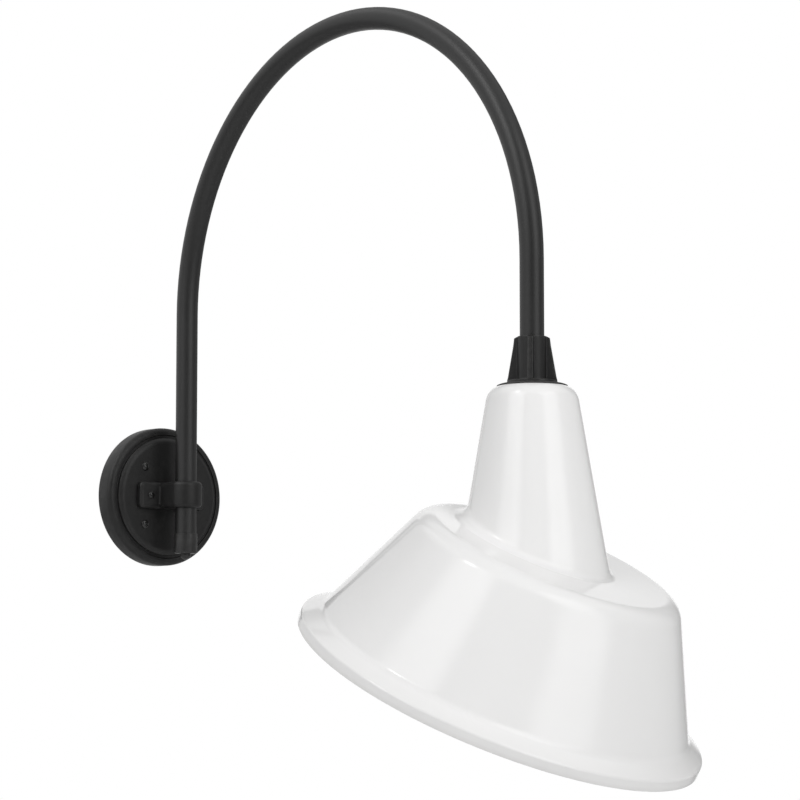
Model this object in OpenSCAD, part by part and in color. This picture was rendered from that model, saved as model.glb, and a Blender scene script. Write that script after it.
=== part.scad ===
// Barn light: a gooseneck arm clamped to a round wall plate, carrying an angled bowl shade.
// The origin is the centre of the wall plate, on the wall. The wall is the plane Y = 0,
// the light stands out along -Y, and +Z is up.

/* [Arm] */
// Outer diameter of the tube
tube_d = 23.4; // [21:0.1:25]
// Wall of the tube
tube_wall = 1.6; // [1.2:0.1:2.4]
// Radius of the arch, at the centre of the tube
arch_r = 279.4; // [250:0.1:310]
// From the wall to the centre of the riser
standoff = 57.4; // [55:0.1:64]
// From the centre of the plate up to the start of the arch
riser_h = 198; // [170:1:240]
// Tube below the centre of the plate
tail_h = 62; // [52:0.5:80]
// Straight tube from the end of the arch down to the fitter
drop_h = 73.7; // [50:0.1:100]
// Depth of the tube in the fitter
fitter_grip = 36; // [28:0.5:38]

/* [End cap] */
// Wall of the cap round the tube
cap_wall = 1.1; // [0.8:0.1:1.8]
// Thickness of the cap's bottom
cap_floor = 2.3; // [1.8:0.1:4]
// Height of the cap's sleeve round the tube
cap_grip = 19.5; // [12:0.5:24]
// Rounding of the cap's lower edge
cap_round = 2; // [1:0.1:2.5]
// Diameter of the finial
finial_d = 11.6; // [9:0.1:14]
// Height of the finial
finial_h = 6.4; // [5:0.1:9]

/* [Wall plate] */
// Diameter of the plate
plate_d = 152.4; // [151:0.1:170]
// Depth of the plate at its centre
plate_depth = 25.6; // [25:0.1:28]
// Rise of the raised centre, from its edge to its flat middle
plate_rise = 3; // [2:0.1:3.4]
// Wall of the plate
plate_wall = 3; // [2.6:0.1:3.4]
// Depth of the rim, from the wall to its front
rim_depth = 21; // [20:0.1:21.5]
// Rounding of the rim's front edge
rim_round = 6; // [4:0.1:6.3]
// Thickness of the rim at the wall
rim_wall = 6; // [5.6:0.1:7]
// Diameter of the ring groove, at its middle
groove_d = 133.3; // [131:0.1:134]
// Width of the ring groove
groove_w = 3.9; // [3:0.1:4.4]
// Depth of the ring groove
groove_depth = 1.7; // [1:0.1:2.2]
// Rounding of the raised centre's edge
centre_round = 3.2; // [2:0.1:3.6]
// Diameter of the flat middle of the raised centre
flat_d = 101; // [100:0.5:106]
// Diameter of the circle of plate screws
screw_circle_d = 90; // [84:0.1:90.4]
// Diameter of the wire hole
wire_hole_d = 12; // [11:0.1:13]
// Thickness of the wall gasket
gasket_t = 1.2; // [0.8:0.1:1.6]
// Width of the wall gasket, in the middle of the rim
gasket_w = 3; // [2.4:0.1:3.4]

/* [Mounting plate] */
// Diameter of the mounting plate
mount_d = 110; // [108:0.5:116]
// Thickness of the mounting plate
mount_t = 2; // [1.5:0.1:2.2]
// Spacing of the two box slots, between their middles
box_spacing = 79.4; // [76:0.1:82]
// Width of a box slot
slot_w = 4.8; // [4.2:0.1:5.4]
// Length of a box slot, from end to end
slot_len = 14.3; // [10:0.1:16]

/* [Clamp] */
// Height of the clamp
clamp_h = 29; // [27:0.5:34]
// Wall of the strap round the tube
strap_wall = 5.8; // [4:0.1:7]
// Width of the clamp over both ears
clamp_w = 85.8; // [82:0.1:92]
// Thickness of the ears
ear_t = 8; // [6:0.1:9]
// Corner radius of the ears
ear_round = 3.5; // [2:0.1:6]
// Rounding of the ears' front edges
ear_edge = 1.8; // [1:0.1:2.2]
// Rounding of the strap's upper and lower edges
strap_round = 3; // [1:0.1:3.5]
// Fillet between the ears and the strap
strap_fillet = 2; // [1:0.1:3]
// Distance between the two clamp screws
clamp_screw_spacing = 59; // [56:0.1:64]
// Depth of the cradle's saddle, from its tips to the centre of the tube
saddle_relief = 6.3; // [5:0.1:8]
// How far the arm swivels to each side, in degrees
swivel = 45; // [30:1:50]

/* [Fitter] */
// Length of the fitter, with its foot flange
fitter_h = 46.4; // [44:0.1:56]
// Outer diameter of the fitter's barrel
barrel_d = 28; // [27.6:0.1:30]
// Thickness of the foot flange
foot_t = 2.6; // [2:0.1:4]
// Diameter of the foot flange
foot_d = 46.6; // [44:0.1:52]
// Diameter over the ribs at their shoulder
rib_top_d = 32.6; // [31:0.1:36]
// Diameter over the ribs at the foot
rib_foot_d = 44.6; // [40:0.1:46]
// Drop from the fitter's top to the ribs' shoulder
rib_shoulder = 3.2; // [2:0.1:6]
// Thickness of a rib
rib_t = 5.6; // [4:0.1:7]
// Number of ribs
ribs = 4; // [3:1:6]
// Angle from the arm's plane to the first rib, in degrees
rib_angle = 48; // [30:1:60]

/* [Shade] */
// Diameter of the rim
shade_d = 406.4; // [380:0.1:430]
// Height of the upright lip
lip_h = 10.7; // [8:0.1:14]
// Rounding of the lip's upper edge
lip_round = 3.4; // [2.5:0.1:4]
// Diameter at the foot of the wall, where it flares to the lip
skirt_d = 370.8; // [355:0.1:376]
// Height of the foot of the wall above the rim
skirt_h = 20.8; // [18:0.1:25]
// Rounding between the wall and the flare
flare_round = 13.4; // [8:0.1:16]
// Diameter of the crown's corner
crown_d = 256.8; // [250:0.1:280]
// Height of the crown above the rim
crown_h = 143; // [130:0.5:150]
// Rounding of the crown's corner
crown_round = 23; // [14:0.5:23]
// Tilt of the bowl, in degrees
tilt = 26.2; // [20:0.1:28]
// From the drop leg's centre line back to the centre of the rim
rim_offset = 40.5; // [36:0.1:46]
// From the top of the neck down to the centre of the rim
shade_h = 290.5; // [280:0.5:310]
// Turn of the shade about the drop leg, as photographed, in degrees
shade_turn = 12.7; // [-60:0.1:60]
// Diameter of the neck's upper corner
neck_d = 84; // [80:0.1:90]
// Half angle of the neck's taper, in degrees
neck_flare = 9.65; // [8:0.05:10.5]
// Rounding of the neck's upper edge
neck_round = 11; // [6:0.5:12]
// Fillet between the neck and the crown
neck_fillet = 12; // [6:0.5:12]
// Wall of the shade
shade_wall = 1.5; // [1.2:0.1:2]

/* [Lamp holder] */
// Diameter of the black washer on the neck
washer_d = 62.6; // [56:0.1:64]
// Thickness of the black washer
washer_t = 1.6; // [1:0.1:2.4]
// Outer diameter of the threaded nipple
nipple_d = 13.2; // [12:0.1:14]
// Bore of the threaded nipple
nipple_bore = 9.2; // [8:0.1:10]
// Inner diameter of the lamp's screw shell
shell_bore = 26.4; // [26.2:0.1:26.8]
// Wall of the screw shell
shell_wall = 0.4; // [0.3:0.05:0.6]
// Length of the screw shell
shell_len = 26; // [24:0.5:28]
// Outer diameter of the porcelain
porcelain_d = 38; // [37:0.5:44]
// Length of the porcelain
porcelain_h = 46; // [44:0.5:52]
// Diameter of the porcelain's lower flange
porcelain_flange_d = 44; // [43:0.5:50]
// Space between the bracket's nut and the porcelain, for the leads
wiring_space = 8; // [7:0.5:12]
// From the lamp's centre line to a terminal screw
terminal_r = 12.5; // [12:0.1:13]

/* [Fasteners and wiring] */
// Diameter of the plate screws
plate_screw_d = 4; // [3.5:0.1:4.5]
// Diameter of the clamp screws
clamp_screw_d = 5; // [4.5:0.1:5.5]
// Diameter of a lead over its insulation, in the arm
lead_d = 2.6; // [2:0.1:2.8]
// Diameter of a lead over its insulation, in the nipple
nipple_lead_d = 2.1; // [1.6:0.1:2.3]

/* [Hidden] */

$fn = 96;
black = [0.12, 0.12, 0.125];
white = [0.96, 0.96, 0.95];
steel = [0.72, 0.73, 0.74];
brass = [0.80, 0.66, 0.35];
porcelain = [0.93, 0.91, 0.86];
rubber = [0.16, 0.16, 0.16];
green = [0.10, 0.45, 0.20];
lead_colours = [black, white, green];

// Clearances
turning_gap = 0.08;   // radial gap where the arm and the fitter turn on the tube
thread_gap = 0.05;    // radial gap in a threaded or pressed joint
screw_gap = 0.3;      // radial gap round a screw that passes through
seat_gap = 0.3;       // gap at a seat or a parting between bodies

// Cutting and joining
cut = 1;              // overrun of a cutting solid past the face that it cuts
root = 1;             // how far a rib or a fillet is sunk into the body that carries it
arc_steps = 8;        // straight pieces in a quarter round of a turned profile

// Places that several parts share
tube_r = tube_d / 2;
bore_r = tube_r - tube_wall;
running_r = tube_r + turning_gap;
reach = standoff + 2 * arch_r;
fitter_top = riser_h - drop_h;
fitter_foot = fitter_top - fitter_h;
tube_end = fitter_top - fitter_grip;
neck_top = fitter_foot - washer_t;
rim_z = neck_top - shade_h;

// Wall plate
cavity_depth = plate_depth - plate_wall;
cavity_r = plate_d / 2 - rim_wall;
cavity_draft = 1;     // how much the cavity narrows from the wall to its floor
gasket_r = plate_d / 2 - (rim_wall - gasket_w) / 2;
groove_draft = 0.7;
groove_out = (groove_d + groove_w) / 2;
groove_in = (groove_d - groove_w) / 2;
groove_floor = rim_depth - groove_depth;
centre_edge = plate_depth - plate_rise;
screw_angles = [45, 135, 225, 315];
plate_screw_head = [9.5, 3];
screw_short = 0.2;    // how far a screw stops short of the wall
bushing_wall = 1.2;
bushing_flange_t = 1.2;
bushing_flange_d = wire_hole_d + 2.8;
lead_bore = wire_hole_d - 2 * bushing_wall;
mount_hole_d = 22;
ground_screw_d = 3.5;
ground_screw_head = [7, 1.8];
ground_screw_place = [16, -26];

// Clamp
strap_r = running_r + strap_wall;
ear_front = plate_depth + ear_t;
clamp_screw_x = clamp_screw_spacing / 2;
clamp_screw_head = [7.5, 2.8];
clamp_nut_across = 8;
clamp_nut_h = 2.7;
cradle_w = tube_d - 0.4;
cradle_h = clamp_h - 1;
cradle_front = standoff - saddle_relief;
cradle_screw_d = 3;
cradle_screw_head = [5.4, 1.8];
cradle_screw_len = 12;
cradle_screw_z = bushing_flange_d / 2 + cradle_screw_head[0] / 2 + 0.4;

// Leads in the wall plate and the arm, each placed at [across the arm's plane, in the arm's plane]
lead_r = lead_d / 2;
lead_spread = lead_r + 0.15;
lead_places = [[-lead_spread, -lead_spread * 0.6], [lead_spread, -lead_spread * 0.6], [0, lead_spread * 1.2]];
lead_bend = 5;
lead_start = mount_t + 0.8;
lead_joint_z = lead_bend + 4;
wire_slot_h = 12;
wire_slot_half = swivel + 21;

// End cap
cap_r = tube_r + cap_wall;
finial_collar = finial_h * 0.25;
finial_stud_d = 4;

// Fitter
set_screw_d = 5;
set_screw_hex = 2.8;
set_screw_hex_depth = 3;
set_screw_boss = 9;
set_screw_out = barrel_d / 2 + 3;
set_screw_z = fitter_top - 18;
set_screw_in = running_r + 0.1;
nipple_stop = 1;

// Washers and nuts on the nipple, from the neck down
inner_washer_d = 30;
inner_washer_t = 1.6;
locknut_h = 5;
bracket_nut_h = 4;
hex_across = 22;
bracket_t = 1.5;
locknut_top = neck_top - shade_wall - inner_washer_t;
bracket_top = locknut_top - locknut_h;
bracket_nut_top = bracket_top - bracket_t;
nipple_end = bracket_nut_top - bracket_nut_h;
nipple_top = tube_end - seat_gap - nipple_stop;

// Shade
shade_sides = 64;
nipple_hole_r = nipple_d / 2 + screw_gap;
crown_z = rim_z + crown_h / cos(tilt) - rim_offset * tan(tilt);
// Outline of the bowl about its own axis: [radius, height above the rim]
bowl_outline = [
    [0, crown_h], [crown_d / 2, crown_h], [skirt_d / 2, skirt_h], [shade_d / 2, lip_h], [shade_d / 2, 0]
];
// Outline of the neck: [radius, height], from its top down its side
neck_line = 100;
neck_outline = [
    [0, neck_top], [neck_d / 2, neck_top], [neck_d / 2 + neck_line * tan(neck_flare), neck_top - neck_line]
];

// Lamp holder
socket_top = nipple_end - wiring_space;
socket_bottom = socket_top - porcelain_h;
porcelain_flange_h = 6;
porcelain_slope = 4;
porcelain_edge = 2;
shell_r = shell_bore / 2;
shell_seat = 3;
shell_z = socket_bottom + shell_seat;
shell_mouth_d = 14;
shell_gap = 0.15;
contact_recess = 3.4; // from the shell's inner end up to the floor of the lamp bore
lamp_bore_h = shell_seat + shell_len + contact_recess;
contact_z = socket_bottom + lamp_bore_h;
contact_d = 9;
rivet_d = 3;
rivet_len = 4;
bracket_w = 16;
bracket_inner = porcelain_d + 0.2;
bracket_leg = bracket_top - socket_top + 12;
leg_screw_z = socket_top - 7;
leg_screw_len = 4.5;
ground_z = socket_top + 4;
ground_screw_past = 1;
small_screw_d = 3;
small_screw_head = [5.6, 1.8];
terminal_screw_len = 5.5;

// Leads in the nipple: how each one leaves the bundle, and where its end is
nipple_lead_r = nipple_lead_d / 2;
nipple_lead_spread = 1.75;
nipple_lead_bend = 3;
nipple_lead_top = tube_end - seat_gap - 0.1;
nipple_lead_angles = [270, 90, 0];
terminal_level = socket_top + nipple_lead_r + thread_gap;
nipple_lead_levels = [terminal_level, terminal_level, ground_z];
terminal_near = terminal_r - small_screw_head[0] / 2 - thread_gap;
nipple_lead_ends = [terminal_near, terminal_near, bracket_inner / 2 - ground_screw_past - thread_gap];

// Places its children on the wall: local +Z becomes the way out from the wall
module on_wall(depth = 0) translate([0, -depth, 0]) rotate([90, 0, 0]) children();
module on_riser(z = 0) translate([0, -standoff, z]) children();
module on_drop(z = 0) translate([0, -reach, z]) children();
// The fitter's own +X is the way to its first rib
module in_fitter() on_drop() rotate(-90 - rib_angle) children();
module in_shade(z = 0) on_drop(z) rotate(shade_turn) children();
module on_screw_angles() for (a = screw_angles) rotate(a) translate([screw_circle_d / 2, 0, 0]) children();
module both_sides() for (x = [-1, 1]) mirror([x < 0 ? 1 : 0, 0, 0]) children();

function unit(v) = v / norm(v);
// Right-hand normal of the line from a to b, in the plane
function side(a, b) = let (d = unit(b - a)) [d[1], -d[0]];
// Corner b of the outline a, b, c, moved in by t on both lines
function inset(a, b, c, t) = let (m = side(a, b), n = side(b, c)) b + (m + n) * t / (1 + m * n);
function turn_between(from, to) = let (d = to - from) d > 180 ? d - 360 : d < -180 ? d + 360 : d;
// Corner b of the outline a, b, c as an arc of radius r, in steps
function corner_arc(a, b, c, r, steps) =
    let (
        u = unit(a - b),
        v = unit(c - b),
        half = acos(u * v) / 2,
        centre = b + unit(u + v) * r / sin(half),
        p = b + u * r / tan(half) - centre,
        q = b + v * r / tan(half) - centre,
        start = atan2(p[1], p[0]),
        sweep = turn_between(start, atan2(q[1], q[0]))
    )
    [for (i = [0:steps]) centre + r * [cos(start + sweep * i / steps), sin(start + sweep * i / steps)]];
function is_straight(a, b, c) = norm(unit(b - a) - unit(c - b)) < 1e-6;
// A closed outline with its corners rounded, each by its own radius (0 leaves the corner sharp).
// A corner that lies on the line between its neighbours has nothing to round and stays as it is
function rounded(points, radii) =
    let (n = len(points))
    [for (i = [0:n - 1])
        let (a = points[(i + n - 1) % n], b = points[i], c = points[(i + 1) % n])
        each radii[i] == 0 || is_straight(a, b, c) ? [b] : corner_arc(a, b, c, radii[i], arc_steps)];
function reversed(list) = [for (i = [len(list) - 1:-1:0]) list[i]];

module rounded_rect(w, h, r) {
    square([w - 2 * r, h], center = true);
    square([w, h - 2 * r], center = true);
    for (x = [-1, 1], y = [-1, 1])
        translate([x * (w / 2 - r), y * (h / 2 - r)]) circle(r);
}

module slot(length, width) {
    square([length - width, width], center = true);
    for (x = [-1, 1])
        translate([x * (length - width) / 2, 0]) circle(d = width);
}

// Bore for a shank of diameter d, with a radial gap, from the plane z = 0 up, overrunning at both ends
module bore(d, gap, length) translate([0, 0, -cut]) cylinder(d = d + 2 * gap, h = length + 2 * cut);

// Screw with a domed, cross-slotted head of [diameter, height] on the plane z = 0; its shank points down
module domed_screw(shank_d, head, length) {
    head_r = head[0] / 2;
    edge = head[1] * 0.35;
    rise = head[1] - edge;
    dome_r = (head_r * head_r + rise * rise) / (2 * rise);
    slot_l = head[0] * 0.56;
    slot_t = head[0] * 0.13;
    difference() {
        union() {
            intersection() {
                cylinder(r = head_r, h = head[1]);
                translate([0, 0, head[1] - dome_r]) sphere(dome_r);
            }
            translate([0, 0, -length]) cylinder(d = shank_d, h = length + edge);
        }
        for (a = [0, 90])
            rotate(a) translate([0, 0, head[1]]) cube([slot_l, slot_t, head[1] * 0.9], center = true);
    }
}

module hex_nut(across, hole_d, height) difference() {
    cylinder(d = across / cos(30), h = height, $fn = 6);
    bore(hole_d, thread_gap, height);
}

module flat_washer(outer_d, inner_d, thickness) difference() {
    cylinder(d = outer_d, h = thickness);
    bore(inner_d, 0, thickness);
}

// Wall plate and its fasteners

// Half profile of the plate's outside: [radius, depth from the wall], from the rim in to the middle
function plate_outline() =
    let (r = plate_d / 2)
    concat(
        [[0, 0], [r, 0]],
        corner_arc([r, 0], [r, rim_depth], [groove_out, rim_depth], rim_round, arc_steps),
        [[groove_out, rim_depth], [groove_out - groove_draft, groove_floor], [groove_in, groove_floor]],
        [for (a = [0:90 / arc_steps:90]) [
            groove_in - centre_round * (1 - cos(a)),
            groove_floor + (centre_edge - groove_floor) * sin(a)
        ]],
        [[flat_d / 2, plate_depth], [0, plate_depth]]
    );

// Half profile of the plate's cavity, one wall in from the outside and open at the wall
function cavity_outline() = [
    [0, -cut], [cavity_r, -cut], [cavity_r, 0], [cavity_r - cavity_draft, groove_floor - plate_wall],
    [groove_in - plate_wall, groove_floor - plate_wall],
    [groove_in - centre_round, centre_edge - plate_wall],
    [flat_d / 2, cavity_depth], [0, cavity_depth]
];

module wall_plate() color(black) on_wall() difference() {
    rotate_extrude() polygon(plate_outline());
    rotate_extrude() polygon(cavity_outline());
    // Recess of the gasket
    rotate_extrude() translate([gasket_r - gasket_w, -cut]) square([gasket_w, gasket_t + cut]);
    bore(wire_hole_d, 0, plate_depth);
    on_screw_angles() bore(plate_screw_d, screw_gap, plate_depth);
    for (x = [-1, 1])
        translate([x * clamp_screw_x, 0, 0]) bore(clamp_screw_d, screw_gap, plate_depth);
    for (z = [-1, 1])
        translate([0, z * cradle_screw_z, 0]) bore(cradle_screw_d, screw_gap, plate_depth);
}

module wall_gasket() color(rubber) on_wall()
    flat_washer(2 * (gasket_r - thread_gap), 2 * (gasket_r - gasket_w + thread_gap), gasket_t);

module mounting_plate() color(steel) on_wall() difference() {
    cylinder(d = mount_d, h = mount_t);
    bore(mount_hole_d, 0, mount_t);
    for (z = [-1, 1])
        translate([0, z * box_spacing / 2, -cut]) rotate(90)
            linear_extrude(mount_t + 2 * cut) slot(slot_len, slot_w);
    on_screw_angles() bore(plate_screw_d, thread_gap, mount_t);
    translate(ground_screw_place) bore(ground_screw_d, thread_gap, mount_t);
}

module plate_screws() color(black) on_wall(plate_depth) on_screw_angles()
    domed_screw(plate_screw_d, plate_screw_head, plate_depth - screw_short);

module ground_screw() color(green) on_wall(mount_t) translate(ground_screw_place)
    domed_screw(ground_screw_d, ground_screw_head, mount_t - screw_short);

module wire_bushing() color(rubber) on_wall(cavity_depth) difference() {
    union() {
        translate([0, 0, -bushing_flange_t]) cylinder(d = bushing_flange_d, h = bushing_flange_t);
        cylinder(d = wire_hole_d - 2 * thread_gap, h = plate_wall);
    }
    translate([0, 0, -bushing_flange_t]) bore(lead_bore, 0, bushing_flange_t + plate_wall);
}

// Clamp

// Block behind the tube: its front is a saddle for the tube, and the leads pass through it
module clamp_cradle() color(black) difference() {
    on_wall(plate_depth) linear_extrude(cradle_front - plate_depth)
        square([cradle_w, cradle_h], center = true);
    on_riser(-clamp_h) cylinder(r = running_r, h = 2 * clamp_h);
    on_wall(plate_depth) bore(lead_bore, 0, standoff);
    for (z = [-1, 1])
        on_wall(plate_depth) translate([0, z * cradle_screw_z, 0])
            bore(cradle_screw_d, thread_gap, cradle_screw_len - plate_wall);
}

module cradle_screws() color(steel) for (z = [-1, 1])
    on_wall(cavity_depth) translate([0, z * cradle_screw_z, 0]) mirror([0, 0, 1])
        domed_screw(cradle_screw_d, cradle_screw_head, cradle_screw_len);

// Both ears as one bar behind the tube, with rounded corners and rounded front edges
module ear_bar() intersection() {
    linear_extrude(ear_t) rounded_rect(clamp_w, clamp_h, ear_round);
    rotate([90, 0, 0]) linear_extrude(clamp_h, center = true) rounded_rect(clamp_w, 2 * ear_t, ear_edge);
    rotate([90, 0, 90]) linear_extrude(clamp_w, center = true) rounded_rect(clamp_h, 2 * ear_t, ear_edge);
}

// Saddle strap: a half round over the tube, straight sides back to the plate, and two ears
module clamp_strap() color(black) difference() {
    union() {
        on_riser() rotate_extrude() intersection() {
            rounded_rect(2 * strap_r, clamp_h, strap_round);
            translate([0, -clamp_h]) square([2 * strap_r, 2 * clamp_h]);
        }
        on_wall(plate_depth) linear_extrude(standoff - plate_depth)
            rounded_rect(2 * strap_r, clamp_h, strap_round);
        on_wall(plate_depth) ear_bar();
        both_sides() strap_corner_fillet();
    }
    on_riser(-clamp_h) cylinder(r = running_r, h = 2 * clamp_h);
    translate([-running_r, -standoff, -clamp_h]) cube([2 * running_r, standoff, 2 * clamp_h]);
    for (x = [-1, 1])
        on_wall(plate_depth) translate([x * clamp_screw_x, 0, 0]) bore(clamp_screw_d, screw_gap, ear_t);
}

// Fillet where an ear leaves the strap
module strap_corner_fillet() translate([strap_r, -ear_front, 0]) difference() {
    translate([-root, -strap_fillet, -clamp_h / 2 + ear_round])
        cube([strap_fillet + root, strap_fillet + root, clamp_h - 2 * ear_round]);
    translate([strap_fillet, -strap_fillet, -clamp_h]) cylinder(r = strap_fillet, h = 2 * clamp_h);
}

module clamp_screws() color(black) for (x = [-1, 1])
    on_wall(ear_front) translate([x * clamp_screw_x, 0, 0])
        domed_screw(clamp_screw_d, clamp_screw_head, ear_front - cavity_depth + clamp_nut_h);

module clamp_nuts() color(steel) for (x = [-1, 1])
    on_wall(cavity_depth - clamp_nut_h) translate([x * clamp_screw_x, 0, 0])
        hex_nut(clamp_nut_across, clamp_screw_d, clamp_nut_h);

// Leads from the wall to the end of the arm

// A quarter bend of a lead round the Y axis: from the side of -X down to the side of -Z
module quarter_bend(radius, r) rotate([90, 0, 0]) rotate(180)
    rotate_extrude(angle = 90) translate([radius, 0]) circle(r);

// Fixed part: from the plate's cavity through the cradle into the riser, where it turns up
module supply_lead(i) color(lead_colours[i]) translate([lead_places[i][0], 0, 0]) {
    along = lead_places[i][1];
    on_wall(lead_start) translate([0, -along, 0]) cylinder(r = lead_r, h = standoff - lead_bend - lead_start);
    on_riser(lead_bend) translate([0, lead_bend, 0]) rotate(90) quarter_bend(lead_bend + along, lead_r);
    on_riser(lead_bend) translate([0, -along, 0])
        cylinder(r = lead_r, h = lead_joint_z - lead_bend - seat_gap);
}

module supply_lead_black() supply_lead(0);
module supply_lead_white() supply_lead(1);
module supply_lead_green() supply_lead(2);

// In the arm: up the riser, round the arch and down to the end of the tube
module arm_lead(i) color(lead_colours[i]) translate([lead_places[i][0], 0, 0]) {
    along = lead_places[i][1];
    on_riser(lead_joint_z) translate([0, -along, 0]) cylinder(r = lead_r, h = riser_h - lead_joint_z);
    arch(arch_r - along, lead_r);
    on_drop(tube_end) translate([0, along, 0]) cylinder(r = lead_r, h = riser_h - tube_end);
}

module arm_lead_black() arm_lead(0);
module arm_lead_white() arm_lead(1);
module arm_lead_green() arm_lead(2);

// Arm

// Half ring from the top of the riser over to the top of the drop leg
module arch(radius, r) translate([0, -standoff - arch_r, riser_h]) rotate([90, 0, 90])
    rotate_extrude(angle = 180) translate([radius, 0]) circle(r);

module arm_tube() color(black) difference() {
    union() {
        on_riser(-tail_h) cylinder(r = tube_r, h = tail_h + riser_h);
        arch(arch_r, tube_r);
        on_drop(tube_end) cylinder(r = tube_r, h = riser_h - tube_end);
    }
    on_riser(-tail_h - cut) cylinder(r = bore_r, h = tail_h + riser_h + cut);
    arch(arch_r, bore_r);
    on_drop(tube_end - cut) cylinder(r = bore_r, h = riser_h - tube_end + cut);
    // Slot at the back of the riser, inside the clamp, that lets the arm swivel round the leads
    on_riser(-wire_slot_h / 2) rotate(90 - wire_slot_half) rotate_extrude(angle = 2 * wire_slot_half)
        translate([bore_r - cut, 0]) square([tube_wall + 2 * cut, wire_slot_h]);
}

module end_cap() color(black) on_riser(-tail_h) difference() {
    rotate_extrude() polygon(rounded(
        [[0, -cap_floor], [cap_r, -cap_floor], [cap_r, cap_grip], [0, cap_grip]],
        [0, cap_round, 0, 0]
    ));
    cylinder(r = tube_r + thread_gap, h = cap_grip + cut);
    translate([0, 0, -cap_floor]) bore(finial_stud_d, thread_gap, cap_floor);
}

module cap_finial() color(black) on_riser(-tail_h - cap_floor) {
    mirror([0, 0, 1]) rotate_extrude() polygon(concat(
        [[0, 0], [finial_d / 2, 0]],
        [for (a = [0:90 / arc_steps:90])
            [finial_d / 2 * cos(a), finial_collar + (finial_h - finial_collar) * sin(a)]]
    ));
    translate([0, 0, -finial_collar]) cylinder(d = finial_stud_d, h = cap_floor + finial_collar);
}

// Fitter, with the shade's washers and nuts

module fitter() color(black) in_fitter() difference() {
    union() {
        translate([0, 0, fitter_foot]) cylinder(d = barrel_d, h = fitter_h);
        translate([0, 0, fitter_foot]) cylinder(d = foot_d, h = foot_t);
        for (i = [0:ribs - 1])
            rotate(i * 360 / ribs) fitter_rib();
        to_set_screw() cylinder(d = set_screw_boss, h = set_screw_out);
    }
    translate([0, 0, tube_end - seat_gap]) cylinder(r = running_r, h = fitter_grip + seat_gap + cut);
    translate([0, 0, fitter_foot]) bore(nipple_d, thread_gap, fitter_h - fitter_grip);
    to_set_screw() cylinder(d = set_screw_d + 2 * thread_gap, h = set_screw_out + cut);
}

// One tapered rib, standing in the plane Y = 0 on the barrel
module fitter_rib() translate([0, rib_t / 2, 0]) rotate([90, 0, 0]) linear_extrude(rib_t) polygon([
    [barrel_d / 2 - root, fitter_foot], [rib_foot_d / 2, fitter_foot], [rib_foot_d / 2, fitter_foot + foot_t],
    [rib_top_d / 2, fitter_top - rib_shoulder], [barrel_d / 2, fitter_top - root / 4],
    [barrel_d / 2 - root, fitter_top - root / 4]
]);

// Places its children on the set screw's centre line, which points out midway between two ribs
module to_set_screw() rotate(180 + 180 / ribs) translate([0, 0, set_screw_z]) rotate([0, 90, 0]) children();

module fitter_screw() color(steel) in_fitter() to_set_screw() difference() {
    translate([0, 0, set_screw_in]) cylinder(d = set_screw_d, h = set_screw_out - set_screw_in - seat_gap);
    translate([0, 0, set_screw_out - set_screw_hex_depth])
        cylinder(d = set_screw_hex, h = set_screw_hex_depth, $fn = 6);
}

module shade_washer() color(rubber) on_drop(neck_top)
    flat_washer(washer_d, nipple_d + 2 * thread_gap, washer_t);

module threaded_nipple() color(steel) on_drop(nipple_end)
    flat_washer(nipple_d, nipple_bore, nipple_top - nipple_end);

module inner_washer() color(steel) on_drop(locknut_top)
    flat_washer(inner_washer_d, nipple_d + 2 * thread_gap, inner_washer_t);

module locknut() color(steel) on_drop(bracket_top) hex_nut(hex_across, nipple_d, locknut_h);

module bracket_nut() color(steel) on_drop(nipple_end) hex_nut(hex_across, nipple_d, bracket_nut_h);

// Shade
// The neck stands upright on the drop leg's centre line and the bowl turns about a tilted axis.
// A fillet joins them, worked out section by section round the drop leg's centre line.

function bowl_corner(i, t) = inset(bowl_outline[i - 1], bowl_outline[i], bowl_outline[i + 1], t);

// The bowl's outline with its corners rounded, moved in by t
function bowl_profile(t) =
    let (
        top = [0, crown_h - t],
        crown = bowl_corner(1, t),
        skirt = bowl_corner(2, t),
        lip = bowl_corner(3, t),
        foot = [shade_d / 2 - t, 0]
    )
    concat(
        corner_arc(top, crown, skirt, crown_round - t, 6),
        corner_arc(crown, skirt, lip, flare_round + t, 4),
        corner_arc(skirt, lip, foot, lip_round - t, 3),
        [foot]
    );

// A point of the bowl: its profile point p at angle a about the tilted axis
function on_bowl(p, a) = [
    p[0] * cos(a),
    rim_offset + p[0] * sin(a) * cos(tilt) - p[1] * sin(tilt),
    rim_z + p[0] * sin(a) * sin(tilt) + p[1] * cos(tilt)
];

// The neck's profile in the upright half plane at angle a: rounded top edge, cone, fillet to the crown
function neck_profile(t, a) =
    let (
        corner = inset(neck_outline[0], neck_outline[1], neck_outline[2], t),
        slope = tan(neck_flare),
        crown_slope = tan(tilt) * sin(a),
        crown_here = crown_z - t / cos(tilt),
        s = (corner[0] + (corner[1] - crown_here) * slope) / (1 + crown_slope * slope),
        foot = [s, crown_here + crown_slope * s]
    )
    concat(
        [[nipple_hole_r, neck_top - t]],
        corner_arc([0, neck_top - t], corner, foot, neck_round - t, 5),
        corner_arc(corner, foot, foot + [1, crown_slope], neck_fillet + t, 6)
    );

function shade_rows(t) = concat(
    [for (i = [0:len(neck_profile(t, 0)) - 1])
        [for (k = [0:shade_sides - 1])
            let (a = k * 360 / shade_sides, p = neck_profile(t, a)[i])
            [p[0] * cos(a), p[0] * sin(a), p[1]]]],
    [for (p = bowl_profile(t)) [for (k = [0:shade_sides - 1]) on_bowl(p, k * 360 / shade_sides)]]
);

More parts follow.
